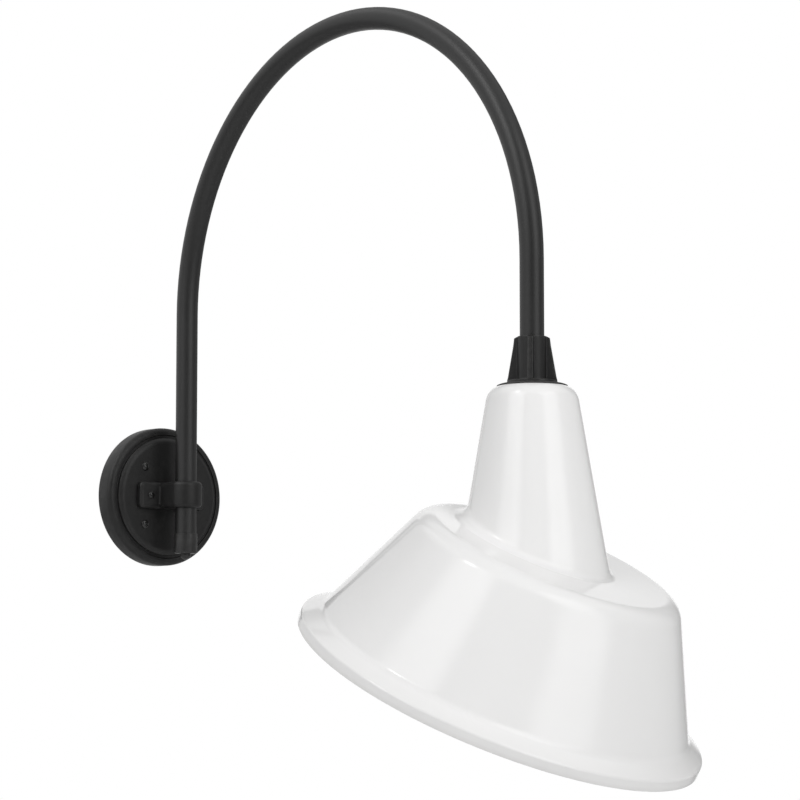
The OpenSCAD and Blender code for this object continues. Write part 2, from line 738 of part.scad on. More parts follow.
module shade() color(white) in_shade() {
    rows = concat(shade_rows(0), reversed(shade_rows(shade_wall)));
    points = [for (row = rows) for (p = row) p];
    count = len(rows);
    faces = [
        for (i = [0:count - 1], k = [0:shade_sides - 1])
            let (
                next = (k + 1) % shade_sides,
                a = i * shade_sides + k,
                b = i * shade_sides + next,
                c = ((i + 1) % count) * shade_sides + next,
                d = ((i + 1) % count) * shade_sides + k
            )
            each [[a, b, c], [a, c, d]]
    ];
    polyhedron(points, faces, convexity = 8);
}

// Lamp holder

// Stamped strap over the porcelain, held on the nipple between two nuts
module socket_bracket() color(steel) in_shade() difference() {
    translate([0, 0, bracket_top - bracket_leg / 2])
        cube([bracket_inner + 2 * bracket_t, bracket_w, bracket_leg], center = true);
    translate([0, 0, bracket_top - bracket_t - bracket_leg / 2])
        cube([bracket_inner, bracket_w + cut, bracket_leg], center = true);
    translate([0, 0, bracket_nut_top]) bore(nipple_d, thread_gap, bracket_t);
    for (x = [-1, 1])
        translate([0, 0, leg_screw_z]) rotate([0, x * 90, 0]) bore(small_screw_d, screw_gap, porcelain_d);
    translate([0, 0, ground_z]) rotate([0, 90, 0]) bore(small_screw_d, thread_gap, porcelain_d);
}

module socket_body() color(porcelain) in_shade(socket_bottom) difference() {
    rotate_extrude() polygon(rounded(
        [
            [0, 0], [porcelain_flange_d / 2, 0], [porcelain_flange_d / 2, porcelain_flange_h],
            [porcelain_d / 2, porcelain_flange_h + porcelain_slope], [porcelain_d / 2, porcelain_h],
            [0, porcelain_h]
        ],
        [0, porcelain_edge, porcelain_edge, porcelain_edge, porcelain_edge, 0]
    ));
    translate([0, 0, -cut]) cylinder(r = shell_r + shell_wall + shell_gap, h = lamp_bore_h + cut);
    for (x = [-1, 1])
        translate([x * (porcelain_d / 2 - leg_screw_len), 0, leg_screw_z - socket_bottom])
            rotate([0, x * 90, 0]) cylinder(d = small_screw_d + 2 * thread_gap, h = porcelain_d);
    for (y = [-1, 1])
        translate([0, y * terminal_r, porcelain_h - terminal_screw_len])
            cylinder(d = small_screw_d + 2 * thread_gap, h = terminal_screw_len + cut);
    translate([0, 0, lamp_bore_h - cut])
        cylinder(d = rivet_d + 2 * thread_gap, h = rivet_len + cut + thread_gap);
}

module screw_shell() color(brass) on_drop(shell_z) {
    flat_washer(2 * (shell_r + shell_wall), shell_bore, shell_len);
    translate([0, 0, shell_len - shell_wall]) flat_washer(shell_bore + shell_wall, shell_mouth_d, shell_wall);
}

// Centre contact: a dished disc under the porcelain's floor, with a rivet up into it
module centre_contact() color(brass) on_drop(contact_z) mirror([0, 0, 1]) {
    rotate_extrude() polygon(rounded(
        [
            [0, 0], [contact_d / 2, 0], [contact_d / 2, contact_d / 6],
            [contact_d / 4, contact_d / 3], [0, contact_d / 3]
        ],
        [0, 0, 0.8, 0.8, 0]
    ));
    translate([0, 0, -rivet_len]) cylinder(d = rivet_d, h = rivet_len + root);
}

module socket_screws() color(steel) in_shade(leg_screw_z) both_sides() rotate([0, 90, 0])
    translate([0, 0, bracket_inner / 2 + bracket_t])
        domed_screw(small_screw_d, small_screw_head, bracket_t + leg_screw_len);

module terminal_screws() color(brass) in_shade(socket_top) for (y = [-1, 1])
    translate([0, y * terminal_r, 0])
        domed_screw(small_screw_d, small_screw_head, terminal_screw_len - thread_gap);

// Screw that earths the bracket, through its leg above the porcelain
module bracket_ground_screw() color(green) in_shade(ground_z) rotate([0, 90, 0])
    translate([0, 0, bracket_inner / 2 + bracket_t])
        domed_screw(small_screw_d, small_screw_head, bracket_t + ground_screw_past);

// Leads down the nipple: black and white turn out to the terminals, green to the bracket's leg
module socket_lead(i) color(lead_colours[i]) in_shade() rotate(nipple_lead_angles[i]) {
    level = nipple_lead_levels[i];
    bend_x = nipple_lead_spread + nipple_lead_bend;
    translate([nipple_lead_spread, 0, level + nipple_lead_bend])
        cylinder(r = nipple_lead_r, h = nipple_lead_top - level - nipple_lead_bend);
    translate([bend_x, 0, level + nipple_lead_bend]) quarter_bend(nipple_lead_bend, nipple_lead_r);
    translate([bend_x, 0, level]) rotate([0, 90, 0])
        cylinder(r = nipple_lead_r, h = nipple_lead_ends[i] - bend_x);
}

module socket_lead_black() socket_lead(0);
module socket_lead_white() socket_lead(1);
module socket_lead_green() socket_lead(2);

wall_plate();
wall_gasket();
mounting_plate();
plate_screws();
ground_screw();
wire_bushing();
clamp_cradle();
cradle_screws();
clamp_strap();
clamp_screws();
clamp_nuts();
supply_lead_black();
supply_lead_white();
supply_lead_green();
arm_tube();
end_cap();
cap_finial();
arm_lead_black();
arm_lead_white();
arm_lead_green();
fitter();
fitter_screw();
shade_washer();
threaded_nipple();
shade();
inner_washer();
locknut();
bracket_nut();
socket_bracket();
socket_body();
screw_shell();
centre_contact();
socket_screws();
terminal_screws();
bracket_ground_screw();
socket_lead_black();
socket_lead_white();
socket_lead_green();
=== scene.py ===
"""Barn light: a gooseneck arm, clamped to a round wall plate, carries a tilted bowl shade in white enamel.

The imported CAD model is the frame. The wall is the plane Y = 0, the light stands out from it along -Y,
and +Z is up. Sizes are in millimetres, and MM turns them into metres. They repeat the CAD source's, apart
from roundings and small sizes of the neck, its washer, the fitter, the clamp and the plate's raised centre,
which a closer look at the photo gave.
"""
import math

import bmesh
import bpy
import numpy as np
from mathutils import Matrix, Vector


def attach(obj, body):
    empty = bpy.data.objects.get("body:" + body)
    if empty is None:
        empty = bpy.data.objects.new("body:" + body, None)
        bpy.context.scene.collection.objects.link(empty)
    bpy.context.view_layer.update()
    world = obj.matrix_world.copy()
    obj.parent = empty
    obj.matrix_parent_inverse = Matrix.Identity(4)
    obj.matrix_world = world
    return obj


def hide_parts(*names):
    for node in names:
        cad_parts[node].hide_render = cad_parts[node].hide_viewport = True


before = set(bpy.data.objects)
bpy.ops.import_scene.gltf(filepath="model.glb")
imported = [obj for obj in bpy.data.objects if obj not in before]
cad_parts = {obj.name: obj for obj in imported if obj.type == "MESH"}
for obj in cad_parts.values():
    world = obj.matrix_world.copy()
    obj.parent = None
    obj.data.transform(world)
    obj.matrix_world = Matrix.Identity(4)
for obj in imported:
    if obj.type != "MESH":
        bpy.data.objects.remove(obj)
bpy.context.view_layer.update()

MM = 0.001

# In metres: points closer than this are one point, and edges rounder than this keep their coat
SAME_PLACE = 2e-7
WORN_RADIUS = 0.0012

# Gaps between pieces, and how far a cutter runs past what it cuts
THREAD_GAP = 0.05
RUNNING_GAP = 0.08
CUT = 1.0

# Arm and end cap
TUBE_R = 11.7
ARCH_R = 279.4
STANDOFF = 57.4
REACH = STANDOFF + 2 * ARCH_R
TAIL_H = 62.0
RUNNING_R = TUBE_R + RUNNING_GAP
TUBE_END = 88.3
CAP_R = 12.8
CAP_BORE = TUBE_R + THREAD_GAP
CAP_FLOOR = 2.3
CAP_GRIP = 19.5
CAP_ROUND = 2.0
FINIAL_R = 5.8
FINIAL_H = 6.4
FINIAL_COLLAR = 1.6
FINIAL_STUD_R = 2.0
FINIAL_STUD_HOLE_R = FINIAL_STUD_R + THREAD_GAP
FINIAL_EDGE = 0.3

# Wall plate, its gasket and its screws
PLATE_R = 76.2
PLATE_DEPTH = 25.6
PLATE_DROP = 3.6
PLATE_WALL = 3.0
CAVITY_DEPTH = PLATE_DEPTH - PLATE_WALL
CAVITY_R = 70.2
CAVITY_DRAFT = 1.0
RIM_DEPTH = 21.0
RIM_ROUND = 6.0
GROOVE_OUT = 68.6
GROOVE_IN = 64.7
GROOVE_DEPTH = 1.7
GROOVE_DRAFT = 0.7
FLAT_R = 61.2
FLAT_ROUND = 7.5
CAVITY_FLAT_R = FLAT_R - 4
WIRE_HOLE_R = 6.0
GASKET_OUT = 74.7
GASKET_IN = 71.7
GASKET_T = 1.2
PLATE_SCREW_ANGLES = np.radians([45, 135, 225, 315])
PLATE_SCREW_CIRCLE_R = 45.0
PLATE_SCREW_D = 4.0
PLATE_SCREW_HEAD = (9.5, 3.0)
PLATE_SCREW_LENGTH = PLATE_DEPTH - 0.2
PLATE_SCREW_HOLE_R = 2.3
CRADLE_SCREW_PLACES = (-10.5, 10.5)
CRADLE_SCREW_HOLE_R = 1.8

# Clamp
CLAMP_W = 85.8
CLAMP_H = 29.0
STRAP_WALL = 5.8
STRAP_ROUND = 4.5
STRAP_FILLET = 2.0
EAR_T = 8.0
EAR_CORNER = 4.6
EAR_EDGE = 3.7
EAR_FRONT = PLATE_DEPTH + EAR_T
EAR_HOLE_R = 2.75
CLAMP_SCREW_PLACES = (-29.5, 29.5)
CLAMP_SCREW_TURNS = (0.35, -0.2)
CLAMP_SCREW_D = 5.0
CLAMP_SCREW_HEAD = (7.5, 2.8)
CLAMP_SCREW_HOLE_R = 2.8
CLAMP_NUT_H = 2.7
CLAMP_NUT_ACROSS = 8.0
CLAMP_NUT_HOLE_R = 2.55

# Fitter
FITTER_TOP = 122.9
FITTER_FOOT = 77.9
BARREL_R = 14.0
RIB_TOP_R = 17.0
RIB_FOOT_R = 23.6
RIB_T = 5.6
RIB_SHOULDER = 1.8
RIB_TOP_ROUND = 0.8
RIB_FLARE = 0.08
RIB_ANGLE = math.radians(48)
FOOT_R = 24.0
FOOT_T = 2.6
FOOT_FILLET = 2.0
SET_SCREW_Z = 106.3
SET_SCREW_R = 2.5
SET_SCREW_TURN = math.pi * 1.25
BOSS_R = 4.5
BOSS_IN = 12.8
BOSS_OUT = 17.0
SET_SCREW_HOLE = (10.0, 20.0)
NIPPLE_R = 6.6
NIPPLE_HOLE_R = NIPPLE_R + THREAD_GAP

# Shade
TILT = math.radians(26.2)
SHADE_TURN = math.radians(12.7)
NECK_TOP = 76.3
NECK_R = 42.0
NECK_FLARE = math.radians(9.65)
NECK_ROUND = 17.5
NECK_FILLET = 12.0
RIM_Z = -214.2
RIM_OFFSET = 40.5
RIM_R = 203.2
LIP_H = 10.7
LIP_ROUND = 3.4
SKIRT_R = 185.4
SKIRT_H = 20.8
FLARE_ROUND = 13.4
CROWN_R = 128.4
CROWN_H = 143.0
CROWN_ROUND = 23.0
SHADE_WALL = 1.5
SHADE_WASHER_R = 33.7
SHADE_WASHER_T = 1.6
SHADE_WASHER_THINNING = 0.4

# Lamp holder
LOCKNUT_TOP = 73.2
BRACKET_TOP = 68.2
BRACKET_NUT_TOP = 66.7
NIPPLE_END = 62.7
INNER_WASHER_R = 15.0
INNER_WASHER_T = 1.6
NUT_ACROSS = 22.0
SHELL_Z = 11.7
SHELL_LEN = 26.0
SHELL_OUT_R = 13.55
SHELL_THREAD = 0.7
SHELL_PITCH = 3.63
SHELL_WALL = 0.4
SHELL_MOUTH_R = 7.0

# Studio, in metres
CAMERA_PLACE = Vector((-1.8442, -2.6052, -0.2073))
CAMERA_AIM = Vector((0, -0.4213, 0.0770))
CAMERA_LENS = 128.94
FLOOR_Z = -0.75
FLOOR_MIDDLE_Y = -0.4
FLOOR_HALF = 2.5

# Soft boxes: way as azimuth and elevation, panel as half width, half height and softness, all in degrees,
# the panel's level in reflections, and the lamp's size in metres and power in watts
LEFT_BOX = (-46, 36)
LEFT_PANEL = (16, 17, 7)
LEFT_LEVEL = 1.5
LEFT_LAMP = ((2.3, 2.2), 45)
RIGHT_BOX = (45, 23)
RIGHT_PANEL = (17, 28, 7)
RIGHT_LEVEL = 1.6
RIGHT_LAMP = ((2.0, 2.6), 48)
SMALL_BOX = (-52, 51)
SMALL_PANEL = (4, 4, 2)
SMALL_LEVEL = 7.0
LAMP_DISTANCE = 2.8

# The room that reflections see: its levels, and its edges as the two sines between which each one fades
STUDIO = 0.26
LEFT_WALL = 0.53
RIGHT_WALL = 0.2
CEILING = 0.45
FRONT_EDGE = (0, 0.2)
BACKDROP_LEFT = (-0.31, -0.27)
BACKDROP_RIGHT = (0.19, 0.38)
BACKDROP_FOOT = (-0.5, -0.3)
BACKDROP_TOP = (0.50, 0.56)
LEFT_WALL_EDGE = (-0.37, -0.33)
RIGHT_WALL_EDGE = (0.58, 0.72)
RIGHT_WALL_BACK = (0.05, 0.25)
WALL_FOOT = (-0.35, 0)
CEILING_EDGE = (0.62, 0.76)


# Materials

class Socket:
    """One output in a node tree. Arithmetic on it adds Math nodes."""

    def __init__(self, tree, output):
        self.tree = tree
        self.output = output

    def math(self, operation, *values):
        inputs = dict(enumerate(values))
        return self.tree.node("ShaderNodeMath", {"operation": operation}, inputs)

    def __add__(self, other):
        return self.math("ADD", self, other)

    def __sub__(self, other):
        return self.math("SUBTRACT", self, other)

    def __rsub__(self, other):
        return self.math("SUBTRACT", other, self)

    def __mul__(self, other):
        return self.math("MULTIPLY", self, other)

    def __truediv__(self, other):
        return self.math("DIVIDE", self, other)

    __radd__ = __add__
    __rmul__ = __mul__

    def between(self, low, high):
        """0 below low and 1 above high, with a smooth step between them."""
        settings = {"interpolation_type": "SMOOTHSTEP"}
        inputs = {"Value": self, "From Min": low, "From Max": high}
        return self.tree.node("ShaderNodeMapRange", settings, inputs)


class Tree:
    """The node tree of a material or of the world."""

    def __init__(self, owner):
        owner.use_nodes = True
        self.nodes = owner.node_tree.nodes
        self.links = owner.node_tree.links
        self.nodes.clear()

    def node(self, kind, settings=None, inputs=None, output=0):
        """Any node: its settings first, then values or links for its inputs. Gives one of its outputs."""
        made = self.nodes.new(kind)
        for name, value in (settings or {}).items():
            setattr(made, name, value)
        for name, value in (inputs or {}).items():
            if isinstance(value, Socket):
                self.links.new(value.output, made.inputs[name])
            else:
                made.inputs[name].default_value = value
        return Socket(self, made.outputs[output] if len(made.outputs) else None)

    def noise(self, size, detail=2.0, roughness=0.5):
        """Noise from 0 to 1 with cells about size millimetres across, in the object's own coordinates."""
        place = self.node("ShaderNodeTexCoord", output="Object")
        inputs = {"Vector": place, "Scale": 1 / (size * MM), "Detail": detail, "Roughness": roughness}
        return self.node("ShaderNodeTexNoise", None, inputs)

    def mix(self, factor, first, second):
        """A colour between two others."""
        return self.node("ShaderNodeMix", {"data_type": "RGBA"}, {0: factor, 6: first, 7: second}, 2)

    def bump(self, height, depth):
        """A normal from a height of 0 to 1 that stands for depth millimetres."""
        return self.node("ShaderNodeBump", None, {"Height": height, "Distance": depth * MM})

    def principled(self, **inputs):
        """The surface. The name of an input is written in lower case with underscores."""
        names = [name.replace("_", " ").title().replace("Ior", "IOR") for name in inputs]
        shader = self.node("ShaderNodeBsdfPrincipled", None, dict(zip(names, inputs.values())))
        self.node("ShaderNodeOutputMaterial", None, {"Surface": shader})


def grey(level, warmth=0.0):
    """A grey, with a little more red and less blue where it is warm."""
    return (level * (1 + warmth), level, level * (1 - warmth), 1)


def new_material(name):
    material = bpy.data.materials.new(name)
    return material, Tree(material)


def powder_coat(name, roughness, gloss):
    """Satin black powder coat: a fine orange peel, a soft mottle in its sheen, and edges rubbed paler."""
    material, tree = new_material(name)
    worn = tree.node("ShaderNodeAttribute", {"attribute_name": "edge"}, None, "Fac")
    rubbed = worn * tree.noise(9, 3).between(0.35, 0.7)
    mottle = tree.noise(30, 3)
    coat = tree.mix(mottle, grey(0.005), grey(0.008))
    peel = tree.noise(1.1, 1)
    tree.principled(
        base_color=tree.mix(rubbed * 0.3, coat, grey(0.05, 0.03)),
        roughness=roughness + mottle * 0.10 - rubbed * 0.08,
        specular_ior_level=gloss,
        normal=tree.bump(peel + tree.noise(0.4, 1) * 0.4, 0.010),
    )
    return material


def enamel():
    """Gloss white porcelain enamel: a faint slow ripple, fine pinholes, and edges where it runs thin."""
    material, tree = new_material("white_enamel")
    thin = tree.node("ShaderNodeAttribute", {"attribute_name": "edge"}, None, "Fac")
    cloud = tree.noise(70, 3)
    white = tree.mix(cloud, grey(0.80, 0.004), grey(0.83, 0.004))
    pinholes = tree.noise(2.4, 3).between(0.74, 0.82)
    ripple = tree.noise(11, 2)
    tree.principled(
        base_color=tree.mix(thin * 0.25 + pinholes * 0.12, white, grey(0.62, 0.02)),
        roughness=0.08 + cloud * 0.03 + pinholes * 0.1,
        ior=1.5,
        normal=tree.bump(ripple - pinholes * 0.05, 0.010),
    )
    return material


def porcelain():
    """Glazed white porcelain, a little warm, with specks in the glaze."""
    material, tree = new_material("porcelain")
    specks = tree.noise(1.6, 3).between(0.70, 0.80)
    cloud = tree.noise(14, 3)
    glaze = tree.mix(cloud, grey(0.74, 0.03), grey(0.79, 0.02))
    tree.principled(
        base_color=tree.mix(specks * 0.35, glaze, grey(0.40, 0.10)),
        roughness=0.14 + cloud * 0.08,
        normal=tree.bump(tree.noise(5, 2), 0.02),
    )
    return material


def brass():
    """Rolled brass with a light tarnish."""
    material, tree = new_material("brass")
    tarnish = tree.noise(6, 4)
    tree.principled(
        base_color=tree.mix(tarnish.between(0.35, 0.7), (0.80, 0.58, 0.26, 1), (0.52, 0.34, 0.13, 1)),
        metallic=1.0,
        roughness=0.20 + tarnish * 0.22,
        normal=tree.bump(tree.noise(0.5, 2), 0.004),
    )
    return material


def zinc_steel():
    """Bright zinc plate on steel, with a bluish cast, dull patches and fine drawing marks."""
    material, tree = new_material("zinc_steel")
    patch = tree.noise(5, 4)
    tree.principled(
        base_color=tree.mix(patch.between(0.3, 0.7), (0.60, 0.62, 0.65, 1), (0.45, 0.46, 0.47, 1)),
        metallic=1.0,
        roughness=0.28 + patch * 0.2,
        normal=tree.bump(tree.noise(0.6, 2), 0.005),
    )
    return material


def rubber():
    """Matt black rubber with a dusty bloom."""
    material, tree = new_material("black_rubber")
    bloom = tree.noise(8, 4)
    tree.principled(
        base_color=tree.mix(bloom.between(0.4, 0.75), grey(0.016), grey(0.032, 0.02)),
        roughness=0.62 + bloom * 0.2,
        normal=tree.bump(tree.noise(0.5, 2), 0.02),
    )
    return material


def green_screw():
    """Green lacquer over steel."""
    material, tree = new_material("green_screw")
    wear = tree.noise(1.2, 3).between(0.55, 0.7)
    tree.principled(
        base_color=tree.mix(wear * 0.6, (0.02, 0.19, 0.06, 1), (0.20, 0.34, 0.22, 1)),
        metallic=0.5,
        roughness=0.30 + wear * 0.15,
        normal=tree.bump(tree.noise(0.5, 2), 0.005),
    )
    return material


def insulation(name, colour, shade):
    """Extruded lead insulation: a soft gloss with rubbed, duller patches."""
    material, tree = new_material(name)
    rubbed = tree.noise(4, 3)
    tree.principled(
        base_color=tree.mix(rubbed, colour, shade),
        roughness=0.34 + rubbed * 0.2,
        normal=tree.bump(tree.noise(0.7, 2), 0.006),
    )
    return material


FINISHES = {
    "black_powder_coat": powder_coat("black_powder_coat", 0.38, 0.6),
    "white_enamel": enamel(),
    "porcelain": porcelain(),
    "brass": brass(),
    "zinc_steel": zinc_steel(),
    "black_rubber": rubber(),
    "green_screw": green_screw(),
    "lead_black": insulation("lead_black", grey(0.012), grey(0.022)),
    "lead_white": insulation("lead_white", grey(0.72, 0.01), grey(0.62, 0.03)),
    "lead_green": insulation("lead_green", (0.02, 0.20, 0.06, 1), (0.03, 0.15, 0.05, 1)),
}

# The same coat, duller on the castings and glossier on the screws
CAST_COAT = powder_coat("black_cast_coat", 0.42, 0.42)
BLACK_SCREW = powder_coat("black_screw", 0.18, 0.6)


# Shapes: arrays of points in millimetres, worked out as a whole and put into a mesh in one go

def unit(v):
    """v at length one, along its last axis."""
    return v / np.linalg.norm(v, axis=-1, keepdims=True)


def inset(outline, t):
    """The inner corners of an open outline, moved by t to the right of the way along it, on both lines."""
    way = unit(outline[1:] - outline[:-1])
    normal = np.stack([way[:, 1], -way[:, 0]], -1)
    before, after = normal[:-1], normal[1:]
    return outline[1:-1] + (before + after) * t / (1 + (before * after).sum(1, keepdims=True))


def full_turn(sides):
    """Angles of even steps round a full turn."""
    return np.arange(sides) * 2 * math.pi / sides


def polar(radius, angle):
    """Points at a radius and an angle: [..., xy]."""
    return np.stack([radius * np.cos(angle), radius * np.sin(angle)], -1)


def bend(a, b, c, r, steps=8):
    """The corner b between a and c as an arc of radius r. Its centre is r / sin(half the corner) from b."""
    a, b, c = (np.asarray(p, float) for p in (a, b, c))
    u, v = unit(a - b), unit(c - b)
    half = np.arccos(np.clip((u * v).sum(-1, keepdims=True), -1, 1)) / 2
    centre = b + unit(u + v) * r / np.sin(half)
    p = b + u * r / np.tan(half) - centre
    q = b + v * r / np.tan(half) - centre
    start = np.arctan2(p[..., 1], p[..., 0])
    sweep = (np.arctan2(q[..., 1], q[..., 0]) - start + math.pi) % (2 * math.pi) - math.pi
    angle = start[..., None] + sweep[..., None] * np.linspace(0, 1, steps + 1)
    return centre[..., None, :] + polar(r, angle)


def rounded(corners, steps=5):
    """A closed outline from corners [x, y, radius]: an arc at each corner that has a radius."""
    points = np.array([corner[:2] for corner in corners], float)
    before, after = np.roll(points, 1, 0), np.roll(points, -1, 0)
    arcs = [
        bend(before[i], points[i], after[i], corner[2], steps) if corner[2] else points[i:i + 1]
        for i, corner in enumerate(corners)
    ]
    return np.concatenate(arcs)


def around(profile, sides=96):
    """A profile [radius, height] turned about the Z axis: [profile, side, xyz]."""
    angle = full_turn(sides)
    radius, height = profile[:, :1], profile[:, 1:]
    return np.stack([radius * np.cos(angle), radius * np.sin(angle), height + 0 * angle], -1)


def rings(outlines, heights):
    """Outlines [row, point, xy] with a height for each row: [row, point, xyz]."""
    heights = np.broadcast_to(np.asarray(heights, float)[:, None, None], outlines.shape[:2] + (1,))
    return np.concatenate([outlines, heights], -1)


def bar(outlines, heights):
    """Outlines with a height for each, and before the first and after the last a row on the axis."""
    outlines = [outlines[0] * 0, *outlines, outlines[-1] * 0]
    return rings(np.stack(outlines), [heights[0], *heights, heights[-1]])


def turned(points, angle):
    """Turns points about the Z axis."""
    c, s = math.cos(angle), math.sin(angle)
    x, y, z = np.moveaxis(points, -1, 0)
    return np.stack([c * x - s * y, s * x + c * y, z], -1)


def out_from_wall(points):
    """Points whose own +Z becomes the way out from the wall, -Y."""
    x, y, z = np.moveaxis(points, -1, 0)
    return np.stack([x, -z, y], -1)


def sideways(points):
    """Points whose own +Z becomes +X."""
    x, y, z = np.moveaxis(points, -1, 0)
    return np.stack([z, y, -x], -1)


def moved(points, x=0.0, y=0.0, z=0.0):
    return points + np.array([x, y, z])


def on_wall(depth=0.0, x=0.0, z=0.0, turn=0.0):
    """A placement on the wall: own +Z out from the wall, at a depth, at x and z, after a turn about own Z."""
    return lambda points: moved(out_from_wall(turned(points, turn)), x=x, y=-depth, z=z)


def on_riser(z=0.0):
    """A placement on the riser's centre line."""
    return lambda points: moved(points, y=-STANDOFF, z=z)


def on_drop(points, angle=0.0, z=0.0):
    """Points of the shade's side of the light: turned about the drop leg, and set on its centre line."""
    return moved(turned(points, angle), y=-REACH, z=z)


def on_lamp(z=0.0):
    """A placement on the drop leg's centre line that turns with the shade."""
    return lambda points: on_drop(points, SHADE_TURN, z)


# Meshes

def tidy(mesh):
    """Merges points in the same place, drops faces and edges of no size, and turns the faces outwards."""
    bm = bmesh.new()
    bm.from_mesh(mesh)
    bmesh.ops.remove_doubles(bm, verts=bm.verts, dist=SAME_PLACE)
    bmesh.ops.dissolve_degenerate(bm, edges=bm.edges, dist=SAME_PLACE)
    bmesh.ops.recalc_face_normals(bm, faces=bm.faces)
    bm.to_mesh(mesh)
    bm.free()


def shape_of(mesh):
    shape = bpy.data.objects.new("shape", mesh)
    bpy.context.scene.collection.objects.link(shape)
    return shape


def grid(points, loop=False):
    """A closed mesh from points [row, column, xyz] in millimetres, whose columns join round.
    With loop, the last row joins the first. Without it, both end rows lie on an axis."""
    rows, columns = points.shape[:2]
    i, j = (g.ravel() for g in np.meshgrid(np.arange(rows - (not loop)), np.arange(columns), indexing="ij"))
    row, next_row = i * columns, (i + 1) % rows * columns
    next_j = (j + 1) % columns
    faces = np.stack([row + j, next_row + j, next_row + next_j, row + next_j], -1)
    mesh = bpy.data.meshes.new("shape")
    mesh.from_pydata((points.reshape(-1, 3) * MM).tolist(), [], faces.tolist())
    tidy(mesh)
    return shape_of(mesh)


def turned_shape(corners, place, sides=96, steps=5, loop=True):
    """A turned solid from a half outline [radius, height, round], put in its place by a function."""
    return grid(place(around(rounded(corners, steps), sides)), loop)


def rod(radius, low, high, place, sides=48):
    """A plain rod along its own Z axis, for cutting holes."""
    corners = [[0, low, 0], [radius, low, 0], [radius, high, 0], [0, high, 0]]
    return turned_shape(corners, place, sides, loop=False)


def block(size, place):
    """A plain block about the origin of its own axes, for cutting slots."""
    width, depth, height = size
    outline = np.array([[1, 1], [-1, 1], [-1, -1], [1, -1]]) * np.array([width, depth]) / 2
    return grid(place(bar([outline, outline], [-height / 2, height / 2])))


def carved(shape, cutters, operation="DIFFERENCE"):
    """Cuts the cutters out of a shape, or with UNION adds them to it, and takes them away."""
    for cutter in cutters:
        change = shape.modifiers.new("carve", "BOOLEAN")
        change.operation = operation
        change.solver = "EXACT"
        change.object = cutter
        graph = bpy.context.evaluated_depsgraph_get()
        mesh = bpy.data.meshes.new_from_object(shape.evaluated_get(graph))
        shape.modifiers.clear()
        shape.data = mesh
        bpy.data.objects.remove(cutter)
    return shape


def joined(shapes):
    """Several shapes as one."""
    bm = bmesh.new()
    for shape in shapes:
        bm.from_mesh(shape.data)
    bm.to_mesh(shapes[0].data)
    bm.free()
    for shape in shapes[1:]:
        bpy.data.objects.remove(shape)
    return shapes[0]


def copies(shape, placements):
    """Copies of a shape as one shape, each put in its place by a function of its points."""
    place = np.zeros(len(shape.data.vertices) * 3)
    shape.data.vertices.foreach_get("co", place)
    place = place.reshape(-1, 3) / MM
    made = []
    for placement in placements:
        copy = shape_of(shape.data.copy())
        copy.data.vertices.foreach_set("co", (placement(place) * MM).ravel())
        made.append(copy)
    bpy.data.objects.remove(shape)
    return joined(made)


def mark_edges(mesh):
    """Fills the attribute edge: 1 where the surface turns outwards as tightly as the worn radius.
    Along an edge of the mesh that is the turn of the normal over the distance."""
    count = len(mesh.vertices)
    place, normal = np.zeros(count * 3), np.zeros(count * 3)
    mesh.vertices.foreach_get("co", place)
    mesh.vertex_normals.foreach_get("vector", normal)
    place, normal = place.reshape(-1, 3), normal.reshape(-1, 3)
    ends = np.zeros(len(mesh.edges) * 2, np.int32)
    mesh.edges.foreach_get("vertices", ends)
    a, b = ends.reshape(-1, 2).T
    step = place[b] - place[a]
    curve = ((normal[b] - normal[a]) * step).sum(1) / np.maximum((step ** 2).sum(1), 1e-12)
    tightest = np.zeros(count)
    np.maximum.at(tightest, a, curve)
    np.maximum.at(tightest, b, curve)
    attribute = mesh.attributes.new("edge", "FLOAT", "POINT")
    attribute.data.foreach_set("value", np.clip(tightest * WORN_RADIUS, 0, 1).astype(np.float32))


def finished(shape, node, body, slot, sharp=35, finish=None):
    """Makes a shape the piece that stands for a CAD node: smooth, with sharp edges past an angle.
    Its finish is the slot's unless another is given."""
    mesh = shape.data
    tidy(mesh)
    mesh.shade_smooth()
    mesh.set_sharp_from_angle(angle=math.radians(sharp))
    mark_edges(mesh)
    mesh.materials.clear()
    mesh.materials.append(finish or FINISHES[slot])
    shape.name = mesh.name = node + "_look"
    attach(shape, body)
    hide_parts(node)


def softened(node, body, slot, width):
    """A copy of a CAD node whose hard edges are rounded off by a width in millimetres. First, faces that lie
    in one plane become one face."""
    in_plane, hard = math.radians(0.5), math.radians(40)
    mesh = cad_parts[node].data.copy()
    bm = bmesh.new()
    bm.from_mesh(mesh)
    bmesh.ops.remove_doubles(bm, verts=bm.verts, dist=1e-6)
    bmesh.ops.dissolve_limit(bm, angle_limit=in_plane, verts=bm.verts, edges=bm.edges)
    edges = [edge for edge in bm.edges if edge.is_manifold and edge.calc_face_angle() > hard]
    bmesh.ops.bevel(
        bm, geom=edges, offset=width * MM, offset_type="OFFSET", segments=2, profile=0.5,
        affect="EDGES", clamp_overlap=True
    )
    bmesh.ops.triangulate(bm, faces=[face for face in bm.faces if len(face.verts) > 4])
    bm.to_mesh(mesh)
    bm.free()
    finished(shape_of(mesh), node, body, slot)


def refinish(slot, *nodes):
    """Gives CAD nodes that keep their form a finish, in their own object's material slots."""
    for node in nodes:
        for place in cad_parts[node].material_slots:
            place.link = "OBJECT"
            place.material = FINISHES[slot]


# Fasteners

